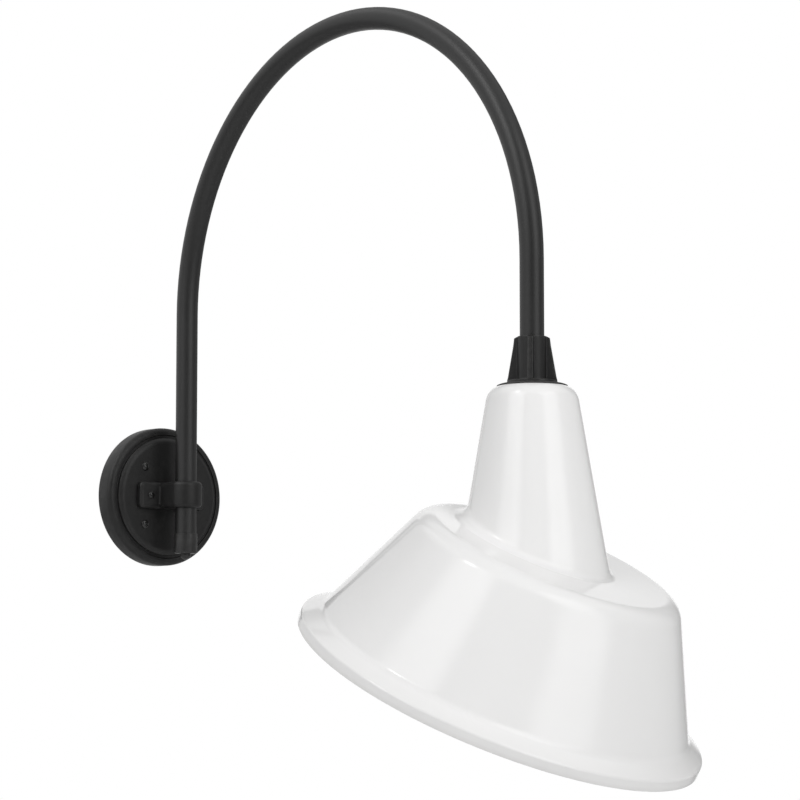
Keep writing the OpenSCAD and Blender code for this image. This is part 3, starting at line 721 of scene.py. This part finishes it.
def domed_screw(shank_d, head_d, head_h, length):
    """A screw with a domed, cross-slotted head on the plane Z = 0 of its own axes. Its shank points down,
    and the dome is drawn in at its foot, so that the head's rim is rounded."""
    head_r = head_d / 2
    shank_r = shank_d / 2
    tip = 0.4
    edge = 0.2
    rise = head_h * 0.65
    dome_r = (head_r ** 2 + rise ** 2) / (2 * rise)
    lean = np.linspace(math.asin(head_r / dome_r), 0, 12)
    dome = np.stack([dome_r * np.sin(lean), head_h - dome_r + dome_r * np.cos(lean)], -1)
    dome[0] = [head_r - 0.12, dome[0, 1] + 0.08]
    shank = [
        [0, -length], [shank_r - tip, -length], [shank_r, -length + tip], [shank_r, 0],
        [head_r - edge, 0], [head_r, edge], [head_r, head_h - rise - 0.15]
    ]
    screw = grid(around(np.concatenate([shank, dome]), 48))
    slot = (head_d * 0.56, head_d * 0.13, head_h * 0.9)
    cross = [block(slot, lambda p, a=a: moved(turned(p, a), z=head_h)) for a in (0, math.pi / 2)]
    return carved(screw, cross)


def hex_nut(across, hole_r, height, place):
    """A nut. Its hexagon's radius is across / 2 / cos(angle from a side's middle), and at both ends a cone
    cuts the corners off."""
    chamfer = 0.3
    angle = full_turn(96)
    hexagon = across / 2 / np.cos(angle % (math.pi / 3) - math.pi / 6)
    drop = np.array([0.0, 0.08, 0.16, 0.3, 0.45])
    heights = np.concatenate([drop, 1 - drop[::-1]]) * height
    inside = np.minimum(heights, height - heights)
    cone = across * 0.48 + inside * 1.9
    outer = np.minimum(hexagon, cone[:, None])
    hole = np.array([
        [hole_r + chamfer, height], [hole_r, height - chamfer], [hole_r, chamfer], [hole_r + chamfer, 0]
    ])
    outlines = polar(np.concatenate([outer, hole[:, :1] + 0 * angle]), angle)
    return grid(place(rings(outlines, np.concatenate([heights, hole[:, 1]]))), loop=True)


# Wall plate and its fasteners

def plate_screw_places(depth):
    """A placement for each plate screw, turned so that one arm of its cross points away from the centre."""
    places = polar(PLATE_SCREW_CIRCLE_R, PLATE_SCREW_ANGLES)
    return [on_wall(depth, x, z, turn) for (x, z), turn in zip(places, PLATE_SCREW_ANGLES)]


def make_wall_plate():
    """The plate as one turned skin: rim, groove, raised centre, cavity and gasket recess, with its holes."""
    groove_floor = RIM_DEPTH - GROOVE_DEPTH
    inner_floor = groove_floor - PLATE_WALL
    plate = turned_shape([
        [PLATE_R, 0, 0.3], [PLATE_R, RIM_DEPTH, RIM_ROUND], [GROOVE_OUT, RIM_DEPTH, 0.45],
        [GROOVE_OUT - GROOVE_DRAFT, groove_floor, 0.4], [GROOVE_IN, groove_floor, 0.4],
        [GROOVE_IN, PLATE_DEPTH - PLATE_DROP, 0.8], [FLAT_R, PLATE_DEPTH, FLAT_ROUND],
        [WIRE_HOLE_R, PLATE_DEPTH, 0.3], [WIRE_HOLE_R, CAVITY_DEPTH, 0.2],
        [CAVITY_FLAT_R, CAVITY_DEPTH, 2], [GROOVE_IN - PLATE_WALL, inner_floor, 1],
        [CAVITY_R - CAVITY_DRAFT, inner_floor, 1], [CAVITY_R, 0, 0.3],
        [GASKET_IN, 0, 0.2], [GASKET_IN, GASKET_T, 0], [GASKET_OUT, GASKET_T, 0], [GASKET_OUT, 0, 0.2]
    ], on_wall(), sides=192, steps=8)
    through = PLATE_DEPTH + CUT
    holes = [rod(PLATE_SCREW_HOLE_R, 0, through, place, 32) for place in plate_screw_places(0)]
    holes += [rod(CLAMP_SCREW_HOLE_R, 0, through, on_wall(0, x), 32) for x in CLAMP_SCREW_PLACES]
    holes += [rod(CRADLE_SCREW_HOLE_R, 0, through, on_wall(0, 0, z), 32) for z in CRADLE_SCREW_PLACES]
    finished(carved(plate, holes), "wall_plate", "wall_mount", "black_powder_coat", finish=CAST_COAT)


def make_wall_fasteners():
    """The plate screws, the clamp screws and the nuts behind these."""
    plate_screw = domed_screw(PLATE_SCREW_D, *PLATE_SCREW_HEAD, PLATE_SCREW_LENGTH)
    plate_screws = copies(plate_screw, plate_screw_places(PLATE_DEPTH))
    finished(plate_screws, "plate_screws", "wall_mount", "black_powder_coat", finish=BLACK_SCREW)
    length = EAR_FRONT - CAVITY_DEPTH + CLAMP_NUT_H
    clamp_screw = domed_screw(CLAMP_SCREW_D, *CLAMP_SCREW_HEAD, length)
    places = [on_wall(EAR_FRONT, x, 0, turn) for x, turn in zip(CLAMP_SCREW_PLACES, CLAMP_SCREW_TURNS)]
    clamp_screws = copies(clamp_screw, places)
    finished(clamp_screws, "clamp_screws", "wall_mount", "black_powder_coat", finish=BLACK_SCREW)
    nut_places = [on_wall(CAVITY_DEPTH - CLAMP_NUT_H, x) for x in CLAMP_SCREW_PLACES]
    nuts = [hex_nut(CLAMP_NUT_ACROSS, CLAMP_NUT_HOLE_R, CLAMP_NUT_H, place) for place in nut_places]
    finished(joined(nuts), "clamp_nuts", "wall_mount", "zinc_steel")


# Clamp strap

def clamp_rectangle(inward):
    """The ears' outline, moved in."""
    a, b, r = CLAMP_W / 2 - inward, CLAMP_H / 2 - inward, EAR_CORNER - inward
    return rounded([[a, -b, r], [a, b, r], [-a, b, r], [-a, -b, r]])


def clamp_saddle(inward, strap_r, back):
    """The saddle's outline about the riser, moved in: a half round in front and straight sides back."""
    half_round = polar(strap_r - inward, np.linspace(math.pi, 2 * math.pi, 33))
    return np.concatenate([half_round, [[strap_r - inward, back], [inward - strap_r, back]]])


def make_clamp_strap():
    """The strap: a bar with both ears, whose front edges are quarter rounds, a saddle over the tube with
    quarter rounds above and below, and a fillet on each side between them."""
    strap_r = RUNNING_R + STRAP_WALL
    back = STANDOFF - PLATE_DEPTH
    half = CLAMP_H / 2
    lean = np.linspace(0, math.pi / 2, 8)

    ear_rows = [clamp_rectangle(EAR_EDGE * (1 - math.cos(a))) for a in lean]
    ear_heights = EAR_T - EAR_EDGE * (1 - np.sin(lean))
    ears = grid(on_wall(PLATE_DEPTH)(bar([clamp_rectangle(0), *ear_rows], [0, *ear_heights])))

    edge_rows = [clamp_saddle(STRAP_ROUND * (1 - math.cos(a)), strap_r, back) for a in lean]
    rise = half - STRAP_ROUND * (1 - np.sin(lean))
    saddle = grid(on_riser()(bar(edge_rows[::-1] + edge_rows, [*-rise[::-1], *rise])))

    curl = np.linspace(-math.pi / 2, -math.pi, 8)
    fillet = STRAP_FILLET * (1 + polar(1, curl))
    corner = np.concatenate([[[-CUT, -CUT], [STRAP_FILLET, -CUT]], fillet, [[-CUT, STRAP_FILLET]]])
    length = half - EAR_CORNER
    fillet_rows = bar([corner, corner], [-length, length])
    fillets = [
        grid(moved(fillet_rows * np.array([side, -1, 1]), x=side * strap_r, y=-EAR_FRONT))
        for side in (-1, 1)
    ]
    strap = carved(ears, [saddle] + fillets, "UNION")

    slot_size = (2 * RUNNING_R, back + CUT, CLAMP_H + 2 * CUT)
    slot = block(slot_size, lambda p: on_riser()(moved(p, y=(back + CUT) / 2)))
    bore = rod(RUNNING_R, -CLAMP_H, CLAMP_H, on_riser(), 96)
    holes = [rod(EAR_HOLE_R, -CUT, EAR_T + CUT, on_wall(PLATE_DEPTH, x), 32) for x in CLAMP_SCREW_PLACES]
    strap = carved(strap, [bore, slot] + holes)
    finished(strap, "clamp_strap", "wall_mount", "black_powder_coat", sharp=50, finish=CAST_COAT)


# Arm's end

def make_end_cap():
    """The cap on the tube's lower end, and its finial: a stud, a collar and an elliptical dome."""
    cap = turned_shape([
        [FINIAL_STUD_HOLE_R, -CAP_FLOOR, 0.1], [CAP_R, -CAP_FLOOR, CAP_ROUND], [CAP_R, CAP_GRIP, 0.4],
        [CAP_BORE, CAP_GRIP, 0.1], [CAP_BORE, 0, 0.1], [FINIAL_STUD_HOLE_R, 0, 0.1]
    ], on_riser(-TAIL_H), steps=8)
    finished(cap, "end_cap", "arm", "black_powder_coat")
    lean = np.linspace(0, math.pi / 2, 14)
    dome_h = FINIAL_H - FINIAL_COLLAR
    dome = np.stack([FINIAL_R * np.cos(lean), -FINIAL_COLLAR - dome_h * np.sin(lean)], -1)
    stud = [
        [0, CAP_FLOOR], [FINIAL_STUD_R - FINIAL_EDGE, CAP_FLOOR], [FINIAL_STUD_R, CAP_FLOOR - FINIAL_EDGE],
        [FINIAL_STUD_R, 0], [FINIAL_R - FINIAL_EDGE, 0], [FINIAL_R, -FINIAL_EDGE]
    ]
    place = on_riser(-TAIL_H - CAP_FLOOR)
    finial = grid(place(around(np.concatenate([stud, dome]), 64)))
    finished(finial, "cap_finial", "arm", "black_powder_coat")


# Fitter

def fitter_outlines(barrel, rib):
    """The fitter's outline at each height, from the barrel's radius and the ribs' reach there. Half a rib
    is an arc of the barrel, a fillet centred on the circle barrel + fillet, and a rounded outer edge."""
    barrel, rib = np.asarray(barrel, float)[:, None], np.asarray(rib, float)[:, None]
    half = RIB_T / 2
    fillet = np.clip((rib - barrel) * 0.5, 0.04, 1.6)
    edge = np.clip((rib - barrel) * 0.4, 0.03, 1.2)
    root_x = np.sqrt((barrel + fillet) ** 2 - (half + fillet) ** 2)
    meet = np.arctan2(half + fillet, root_x)
    on_barrel = math.pi / 4 + (meet - math.pi / 4) * np.linspace(0, 1, 8)[:-1]
    in_fillet = meet + math.pi + (math.pi / 2 - meet) * np.linspace(0, 1, 7)
    on_edge = math.pi / 2 * np.linspace(1, 0, 6)
    x = np.concatenate([
        barrel * np.cos(on_barrel),
        root_x + fillet * np.cos(in_fillet),
        rib - edge + edge * np.cos(on_edge)
    ], 1)
    y = np.concatenate([
        barrel * np.sin(on_barrel),
        half + fillet + fillet * np.sin(in_fillet),
        half - edge + edge * np.sin(on_edge)
    ], 1)
    one = np.stack([np.concatenate([x, x[:, :0:-1]], 1), np.concatenate([y, -y[:, :0:-1]], 1)], -1)
    quarters = -np.arange(4) * math.pi / 2
    turns = [np.array([[math.cos(q), math.sin(q)], [-math.sin(q), math.cos(q)]]) for q in quarters]
    return np.concatenate([one @ turn for turn in turns], 1)


def rib_profile(flange):
    """The ribs' reach [radius, height], from the barrel's top edge round the shoulder, down the slope and out
    in a slight flare on the flange: the flare grows as the square of the way down."""
    top = [BARREL_R, FITTER_TOP - 0.2]
    shoulder = [RIB_TOP_R, FITTER_TOP - RIB_SHOULDER]
    foot = [RIB_FOOT_R, flange]
    down = np.array([0.5, 1.0, 1.5, 1.8, FOOT_FILLET])
    return np.concatenate([
        [[BARREL_R + 0.1, FITTER_TOP - 0.4]],
        bend(top, shoulder, foot, RIB_TOP_ROUND, 8),
        np.linspace([RIB_TOP_R + 0.9, FITTER_TOP - 9], [RIB_FOOT_R - 0.4, flange + 2.6], 8),
        np.stack([RIB_FOOT_R + RIB_FLARE * down ** 2, flange + FOOT_FILLET - down], -1)
    ])


def make_fitter():
    """The fitter as one closed skin: outside from the top to the foot's flange, and back through its bores.
    A quarter round leads from the barrel to the flange, and a boss carries the set screw."""
    flange = FITTER_FOOT + FOOT_T
    ribs = rib_profile(flange)
    above = np.clip(ribs[:, 1] - flange, 0, FOOT_FILLET)
    barrel = BARREL_R + FOOT_FILLET - np.sqrt(FOOT_FILLET ** 2 - (FOOT_FILLET - above) ** 2)
    outside = fitter_outlines(barrel, ribs[:, 0])
    top_way, foot_way = unit(outside[0]), unit(outside[-1])
    top = np.array([
        [RUNNING_R + 0.3, FITTER_TOP], [BARREL_R - 0.5, FITTER_TOP], [BARREL_R - 0.15, FITTER_TOP - 0.15]
    ])
    foot = rounded([
        [FOOT_R - 2, flange, 0], [FOOT_R, flange, 0.7], [FOOT_R, FITTER_FOOT, 0.4],
        [NIPPLE_HOLE_R, FITTER_FOOT, 0.2], [NIPPLE_HOLE_R, TUBE_END - 0.3, 0]
    ])[1:]
    bore = np.array([[RUNNING_R, TUBE_END - 0.3], [RUNNING_R, FITTER_TOP - 0.3]])
    points = np.concatenate([
        rings(top[:, :1, None] * top_way, top[:, 1]),
        rings(outside, ribs[:, 1]),
        rings(foot[:, :1, None] * foot_way, foot[:, 1]),
        rings(bore[:, :1, None] * top_way, bore[:, 1])
    ])
    to_rib = -math.pi / 2 - RIB_ANGLE
    to_screw = to_rib + SET_SCREW_TURN

    def on_screw_line(p):
        return on_drop(moved(sideways(p), z=SET_SCREW_Z), to_screw)

    boss_outline = [[0, BOSS_IN, 0], [BOSS_R, BOSS_IN, 0], [BOSS_R, BOSS_OUT, 0.6], [0, BOSS_OUT, 0]]
    boss = turned_shape(boss_outline, on_screw_line, 48, loop=False)
    fitter = carved(grid(on_drop(points, to_rib), loop=True), [boss], "UNION")
    fitter = carved(fitter, [rod(SET_SCREW_R + THREAD_GAP, *SET_SCREW_HOLE, on_screw_line)])
    finished(fitter, "fitter", "shade_head", "black_powder_coat", finish=CAST_COAT)


# Shade

def bowl_profile(t):
    """The bowl's profile [radius, height above the rim], moved in by t: crown, wall, flare and lip."""
    outline = np.array([[0, CROWN_H], [CROWN_R, CROWN_H], [SKIRT_R, SKIRT_H], [RIM_R, LIP_H], [RIM_R, 0]])
    crown, skirt, lip = inset(outline, t)
    return np.concatenate([
        bend([0, CROWN_H - t], crown, skirt, CROWN_ROUND - t, 16),
        crown + (skirt - crown) * np.array([[0.35], [0.55], [0.75]]),
        bend(crown, skirt, lip, FLARE_ROUND + t, 12),
        bend(skirt, lip, [RIM_R - t, 0], LIP_ROUND - t, 8),
        [[RIM_R - t, LIP_H * 0.4]]
    ])


def on_bowl(profile, angle):
    """A profile turned about the bowl's tilted axis: [profile, angle, xyz], with the drop leg at 0."""
    radius, height = profile[:, :1], profile[:, 1:]
    x = radius * np.cos(angle)
    y = RIM_OFFSET + radius * np.sin(angle) * math.cos(TILT) - height * math.sin(TILT)
    z = RIM_Z + radius * np.sin(angle) * math.sin(TILT) + height * math.cos(TILT)
    return np.stack([x, y, z], -1)


def on_neck(t, angle):
    """The neck in the upright half plane at each angle: flat top, rounded edge, cone and a fillet, whose
    corner is where the cone's line r = corner_r + (corner_z - z) * slope meets the crown's line
    z = crown + lean * r."""
    slope = math.tan(NECK_FLARE)
    outline = np.array([[0, NECK_TOP], [NECK_R, NECK_TOP], [NECK_R + 100 * slope, NECK_TOP - 100]])
    corner = inset(outline, t)[0]
    lean = math.tan(TILT) * np.sin(angle)
    crown = RIM_Z + (CROWN_H - t) / math.cos(TILT) - RIM_OFFSET * math.tan(TILT)
    reach = (corner[0] + (corner[1] - crown) * slope) / (1 + lean * slope)
    foot = np.stack([reach, crown + lean * reach], -1)
    corners = np.broadcast_to(corner, foot.shape)
    centre = np.broadcast_to([0.0, NECK_TOP - t], foot.shape)
    hole = np.broadcast_to([NIPPLE_R + 0.3, NECK_TOP - t], foot.shape)
    along = np.stack([np.ones_like(angle), lean], -1)
    profile = np.concatenate([
        hole[:, None],
        bend(centre, corners, foot, NECK_ROUND - t, 12),
        corner + (foot - corner)[:, None] * np.array([0.4, 0.55, 0.7])[:, None],
        bend(corners, foot, foot + along, NECK_FILLET + t, 14)
    ], 1)
    radius, height = np.moveaxis(profile, -1, 0)
    return np.stack([radius.T * np.cos(angle), radius.T * np.sin(angle), height.T], -1)


def make_shade(sides=256):
    """One closed skin: outside from the nipple's hole to the lip, round the lip's edge, and back inside."""
    angle = full_turn(sides)
    half = SHADE_WALL / 2
    turn = np.linspace(0, math.pi, 9)
    edge = np.stack([RIM_R - half + half * np.cos(turn), half - half * np.sin(turn)], -1)
    inside = np.concatenate([on_neck(SHADE_WALL, angle), on_bowl(bowl_profile(SHADE_WALL), angle)])
    points = np.concatenate([
        on_neck(0, angle), on_bowl(bowl_profile(0), angle), on_bowl(edge, angle), inside[::-1]
    ])
    finished(grid(on_drop(points, SHADE_TURN), loop=True), "shade", "shade_head", "white_enamel", sharp=60)


# Lamp holder

def make_nipple_stack():
    """The washers and nuts on the threaded nipple. The rubber washer lies over the neck's rounded shoulder:
    its underside droops as the circle of the shoulder does, and it thins towards its edge."""
    flat_r = NECK_R - NECK_ROUND * math.tan((math.pi / 2 - NECK_FLARE) / 2)
    radius = np.linspace(flat_r, SHADE_WASHER_R, 10)
    droop = NECK_ROUND - np.sqrt(NECK_ROUND ** 2 - (radius - flat_r) ** 2)
    thickness = SHADE_WASHER_T * (1 - SHADE_WASHER_THINNING * (radius - flat_r) / (SHADE_WASHER_R - flat_r))
    profile = np.concatenate([
        [[NIPPLE_HOLE_R, 0]],
        np.stack([radius, -droop], -1),
        [[SHADE_WASHER_R + 0.2, 0.4 - droop[-1]]],
        np.stack([radius, thickness - droop], -1)[::-1],
        [[NIPPLE_HOLE_R, SHADE_WASHER_T]]
    ])
    shade_washer = grid(on_lamp(NECK_TOP)(around(profile)), loop=True)
    finished(shade_washer, "shade_washer", "shade_head", "black_rubber")
    inner_washer = turned_shape([
        [NIPPLE_HOLE_R, 0, 0.1], [INNER_WASHER_R, 0, 0.3],
        [INNER_WASHER_R, INNER_WASHER_T, 0.3], [NIPPLE_HOLE_R, INNER_WASHER_T, 0.1]
    ], on_lamp(LOCKNUT_TOP))
    finished(inner_washer, "inner_washer", "shade_head", "zinc_steel")
    locknut = hex_nut(NUT_ACROSS, NIPPLE_HOLE_R, LOCKNUT_TOP - BRACKET_TOP, on_lamp(BRACKET_TOP))
    finished(locknut, "locknut", "shade_head", "zinc_steel")
    bracket_nut = hex_nut(NUT_ACROSS, NIPPLE_HOLE_R, BRACKET_NUT_TOP - NIPPLE_END, on_lamp(NIPPLE_END))
    finished(bracket_nut, "bracket_nut", "shade_head", "zinc_steel")


def make_screw_shell():
    """The screw shell with its rolled thread: the radius is a cosine along a spiral of one pitch a turn.
    The thread fades out at both ends, and the inside follows the outside at the wall's thickness."""
    angle = full_turn(72)
    height = np.linspace(0, SHELL_LEN, 90)[:, None]
    fade = np.clip(height / 2, 0, 1) * np.clip((SHELL_LEN - height) / 3, 0, 1)
    wave = np.cos(2 * math.pi * height / SHELL_PITCH - angle)
    outer = SHELL_OUT_R - SHELL_THREAD / 2 * fade * (1 - wave)
    floor = np.array([[SHELL_MOUTH_R, SHELL_LEN], [SHELL_MOUTH_R, SHELL_LEN - SHELL_WALL]])
    radius = np.concatenate([outer, floor[:, :1] + 0 * angle, outer[:-2][::-1] - SHELL_WALL])
    heights = np.concatenate([height[:, 0], floor[:, 1], height[:-2][::-1, 0]])
    shell = grid(on_lamp(SHELL_Z)(rings(polar(radius, angle), heights)), loop=True)
    finished(shell, "screw_shell", "shade_head", "brass")


# Studio

def make_camera():
    camera = bpy.data.cameras.new("photo_camera")
    camera.sensor_width = 36
    camera.lens = CAMERA_LENS
    camera.clip_end = 100
    stand = bpy.data.objects.new("photo_camera", camera)
    stand.location = CAMERA_PLACE
    stand.rotation_euler = (CAMERA_AIM - CAMERA_PLACE).to_track_quat("-Z", "Y").to_euler()
    bpy.context.scene.collection.objects.link(stand)
    bpy.context.scene.camera = stand


def make_floor():
    """A wide pale floor, well below the light."""
    material, tree = new_material("studio_floor")
    tree.principled(base_color=tree.mix(tree.noise(400, 2), grey(0.86), grey(0.88)), roughness=0.7)
    corners = np.array([[-1, -1, 0], [1, -1, 0], [1, 1, 0], [-1, 1, 0]]) * FLOOR_HALF
    floor = bpy.data.meshes.new("studio_floor")
    floor.from_pydata(moved(corners, y=FLOOR_MIDDLE_Y, z=FLOOR_Z).tolist(), [], [(0, 1, 2, 3)])
    floor.materials.append(material)
    stage = bpy.data.objects.new("studio_floor", floor)
    bpy.context.scene.collection.objects.link(stage)


def studio_way(azimuth, elevation):
    """A way in the studio, from angles in degrees. Azimuth 0 is the camera's side, 90 its right and 180 the
    backdrop."""
    towards = (CAMERA_PLACE - CAMERA_AIM) * Vector((1, 1, 0))
    towards.normalize()
    across = Vector((0, 0, 1)).cross(towards)
    azimuth, elevation = math.radians(azimuth), math.radians(elevation)
    level = towards * math.cos(azimuth) + across * math.sin(azimuth)
    return level * math.cos(elevation) + Vector((0, 0, math.sin(elevation)))


def make_world():
    """An even grey studio. The camera sees white all round. Reflections see a white backdrop behind the
    light, a pale wall at the left with a dark gap before it, a duller one at the right, a ceiling and three
    soft boxes. Their edges are soft steps in the sine of the angle from a plane."""
    world = bpy.data.worlds.new("studio")
    bpy.context.scene.world = world
    tree = Tree(world)
    way = tree.node("ShaderNodeTexCoord", output="Generated")

    def along(direction):
        inputs = {0: way, 1: direction}
        return tree.node("ShaderNodeVectorMath", {"operation": "DOT_PRODUCT"}, inputs, "Value")

    def reach(direction, half, soft):
        off_centre = tree.node("ShaderNodeMath", {"operation": "ABSOLUTE"}, {0: along(direction)})
        low, high = math.sin(math.radians(half - soft)), math.sin(math.radians(half + soft))
        return 1 - off_centre.between(low, high)

    def panel(azimuth, elevation, half_width, half_height, soft):
        facing = along(studio_way(azimuth, elevation)).between(*FRONT_EDGE)
        across, upright = studio_way(azimuth + 90, 0), studio_way(azimuth, elevation + 90)
        return facing * reach(across, half_width, soft) * reach(upright, half_height, soft)

    back, right, up = along(studio_way(180, 0)), along(studio_way(90, 0)), along(studio_way(0, 90))
    backdrop = (
        back.between(*FRONT_EDGE)
        * right.between(*BACKDROP_LEFT) * (1 - right.between(*BACKDROP_RIGHT))
        * up.between(*BACKDROP_FOOT) * (1 - up.between(*BACKDROP_TOP))
    )
    left_wall = (1 - right.between(*LEFT_WALL_EDGE)) * up.between(*WALL_FOOT)
    ceiling = up.between(*CEILING_EDGE)
    right_wall = right.between(*RIGHT_WALL_EDGE) * back.between(*RIGHT_WALL_BACK) * up.between(*WALL_FOOT)
    boxes = (
        panel(*LEFT_BOX, *LEFT_PANEL) * LEFT_LEVEL
        + panel(*RIGHT_BOX, *RIGHT_PANEL) * RIGHT_LEVEL
        + panel(*SMALL_BOX, *SMALL_PANEL) * SMALL_LEVEL
    )
    camera, glossy, transmitted = (
        tree.node("ShaderNodeLightPath", output="Is " + name + " Ray")
        for name in ("Camera", "Glossy", "Transmission")
    )
    white = (camera + (glossy + transmitted) * backdrop).between(0, 1)
    room = left_wall * LEFT_WALL + right_wall * RIGHT_WALL + ceiling * CEILING + boxes
    strength = STUDIO + white * (1 - STUDIO) + glossy * (1 - backdrop) * room
    shader = tree.node("ShaderNodeBackground", None, {"Color": grey(1), "Strength": strength})
    tree.node("ShaderNodeOutputWorld", None, {"Surface": shader})


def make_light(name, way, size, power):
    """A soft box that looks at the aim along a way of the studio, its size in metres and its power in watts.
    Reflections see the world's panel in its place."""
    light = bpy.data.lights.new(name, "AREA")
    light.shape = "RECTANGLE"
    light.size, light.size_y = size
    light.energy = power
    stand = bpy.data.objects.new(name, light)
    stand.location = CAMERA_AIM + studio_way(*way) * LAMP_DISTANCE
    stand.rotation_euler = (CAMERA_AIM - stand.location).to_track_quat("-Z", "Y").to_euler()
    stand.visible_glossy = False
    bpy.context.scene.collection.objects.link(stand)


make_wall_plate()
make_wall_fasteners()
make_clamp_strap()
make_end_cap()
make_fitter()
make_shade()
make_nipple_stack()
make_screw_shell()
softened("clamp_cradle", "wall_mount", "black_powder_coat", 0.3)
softened("mounting_plate", "wall_mount", "zinc_steel", 0.2)
softened("socket_bracket", "shade_head", "zinc_steel", 0.2)
refinish("black_powder_coat", "arm_tube")
refinish("porcelain", "socket_body")
refinish("zinc_steel", "cradle_screws", "fitter_screw", "threaded_nipple", "socket_screws")
refinish("brass", "centre_contact", "terminal_screws")
refinish("black_rubber", "wall_gasket", "wire_bushing")
refinish("green_screw", "ground_screw", "bracket_ground_screw")
for colour in ("black", "white", "green"):
    refinish("lead_" + colour, "supply_lead_" + colour, "arm_lead_" + colour, "socket_lead_" + colour)

bpy.context.scene.view_settings.view_transform = "Standard"
make_camera()
make_floor()
make_world()
make_light("left_box", LEFT_BOX, *LEFT_LAMP)
make_light("right_box", RIGHT_BOX, *RIGHT_LAMP)
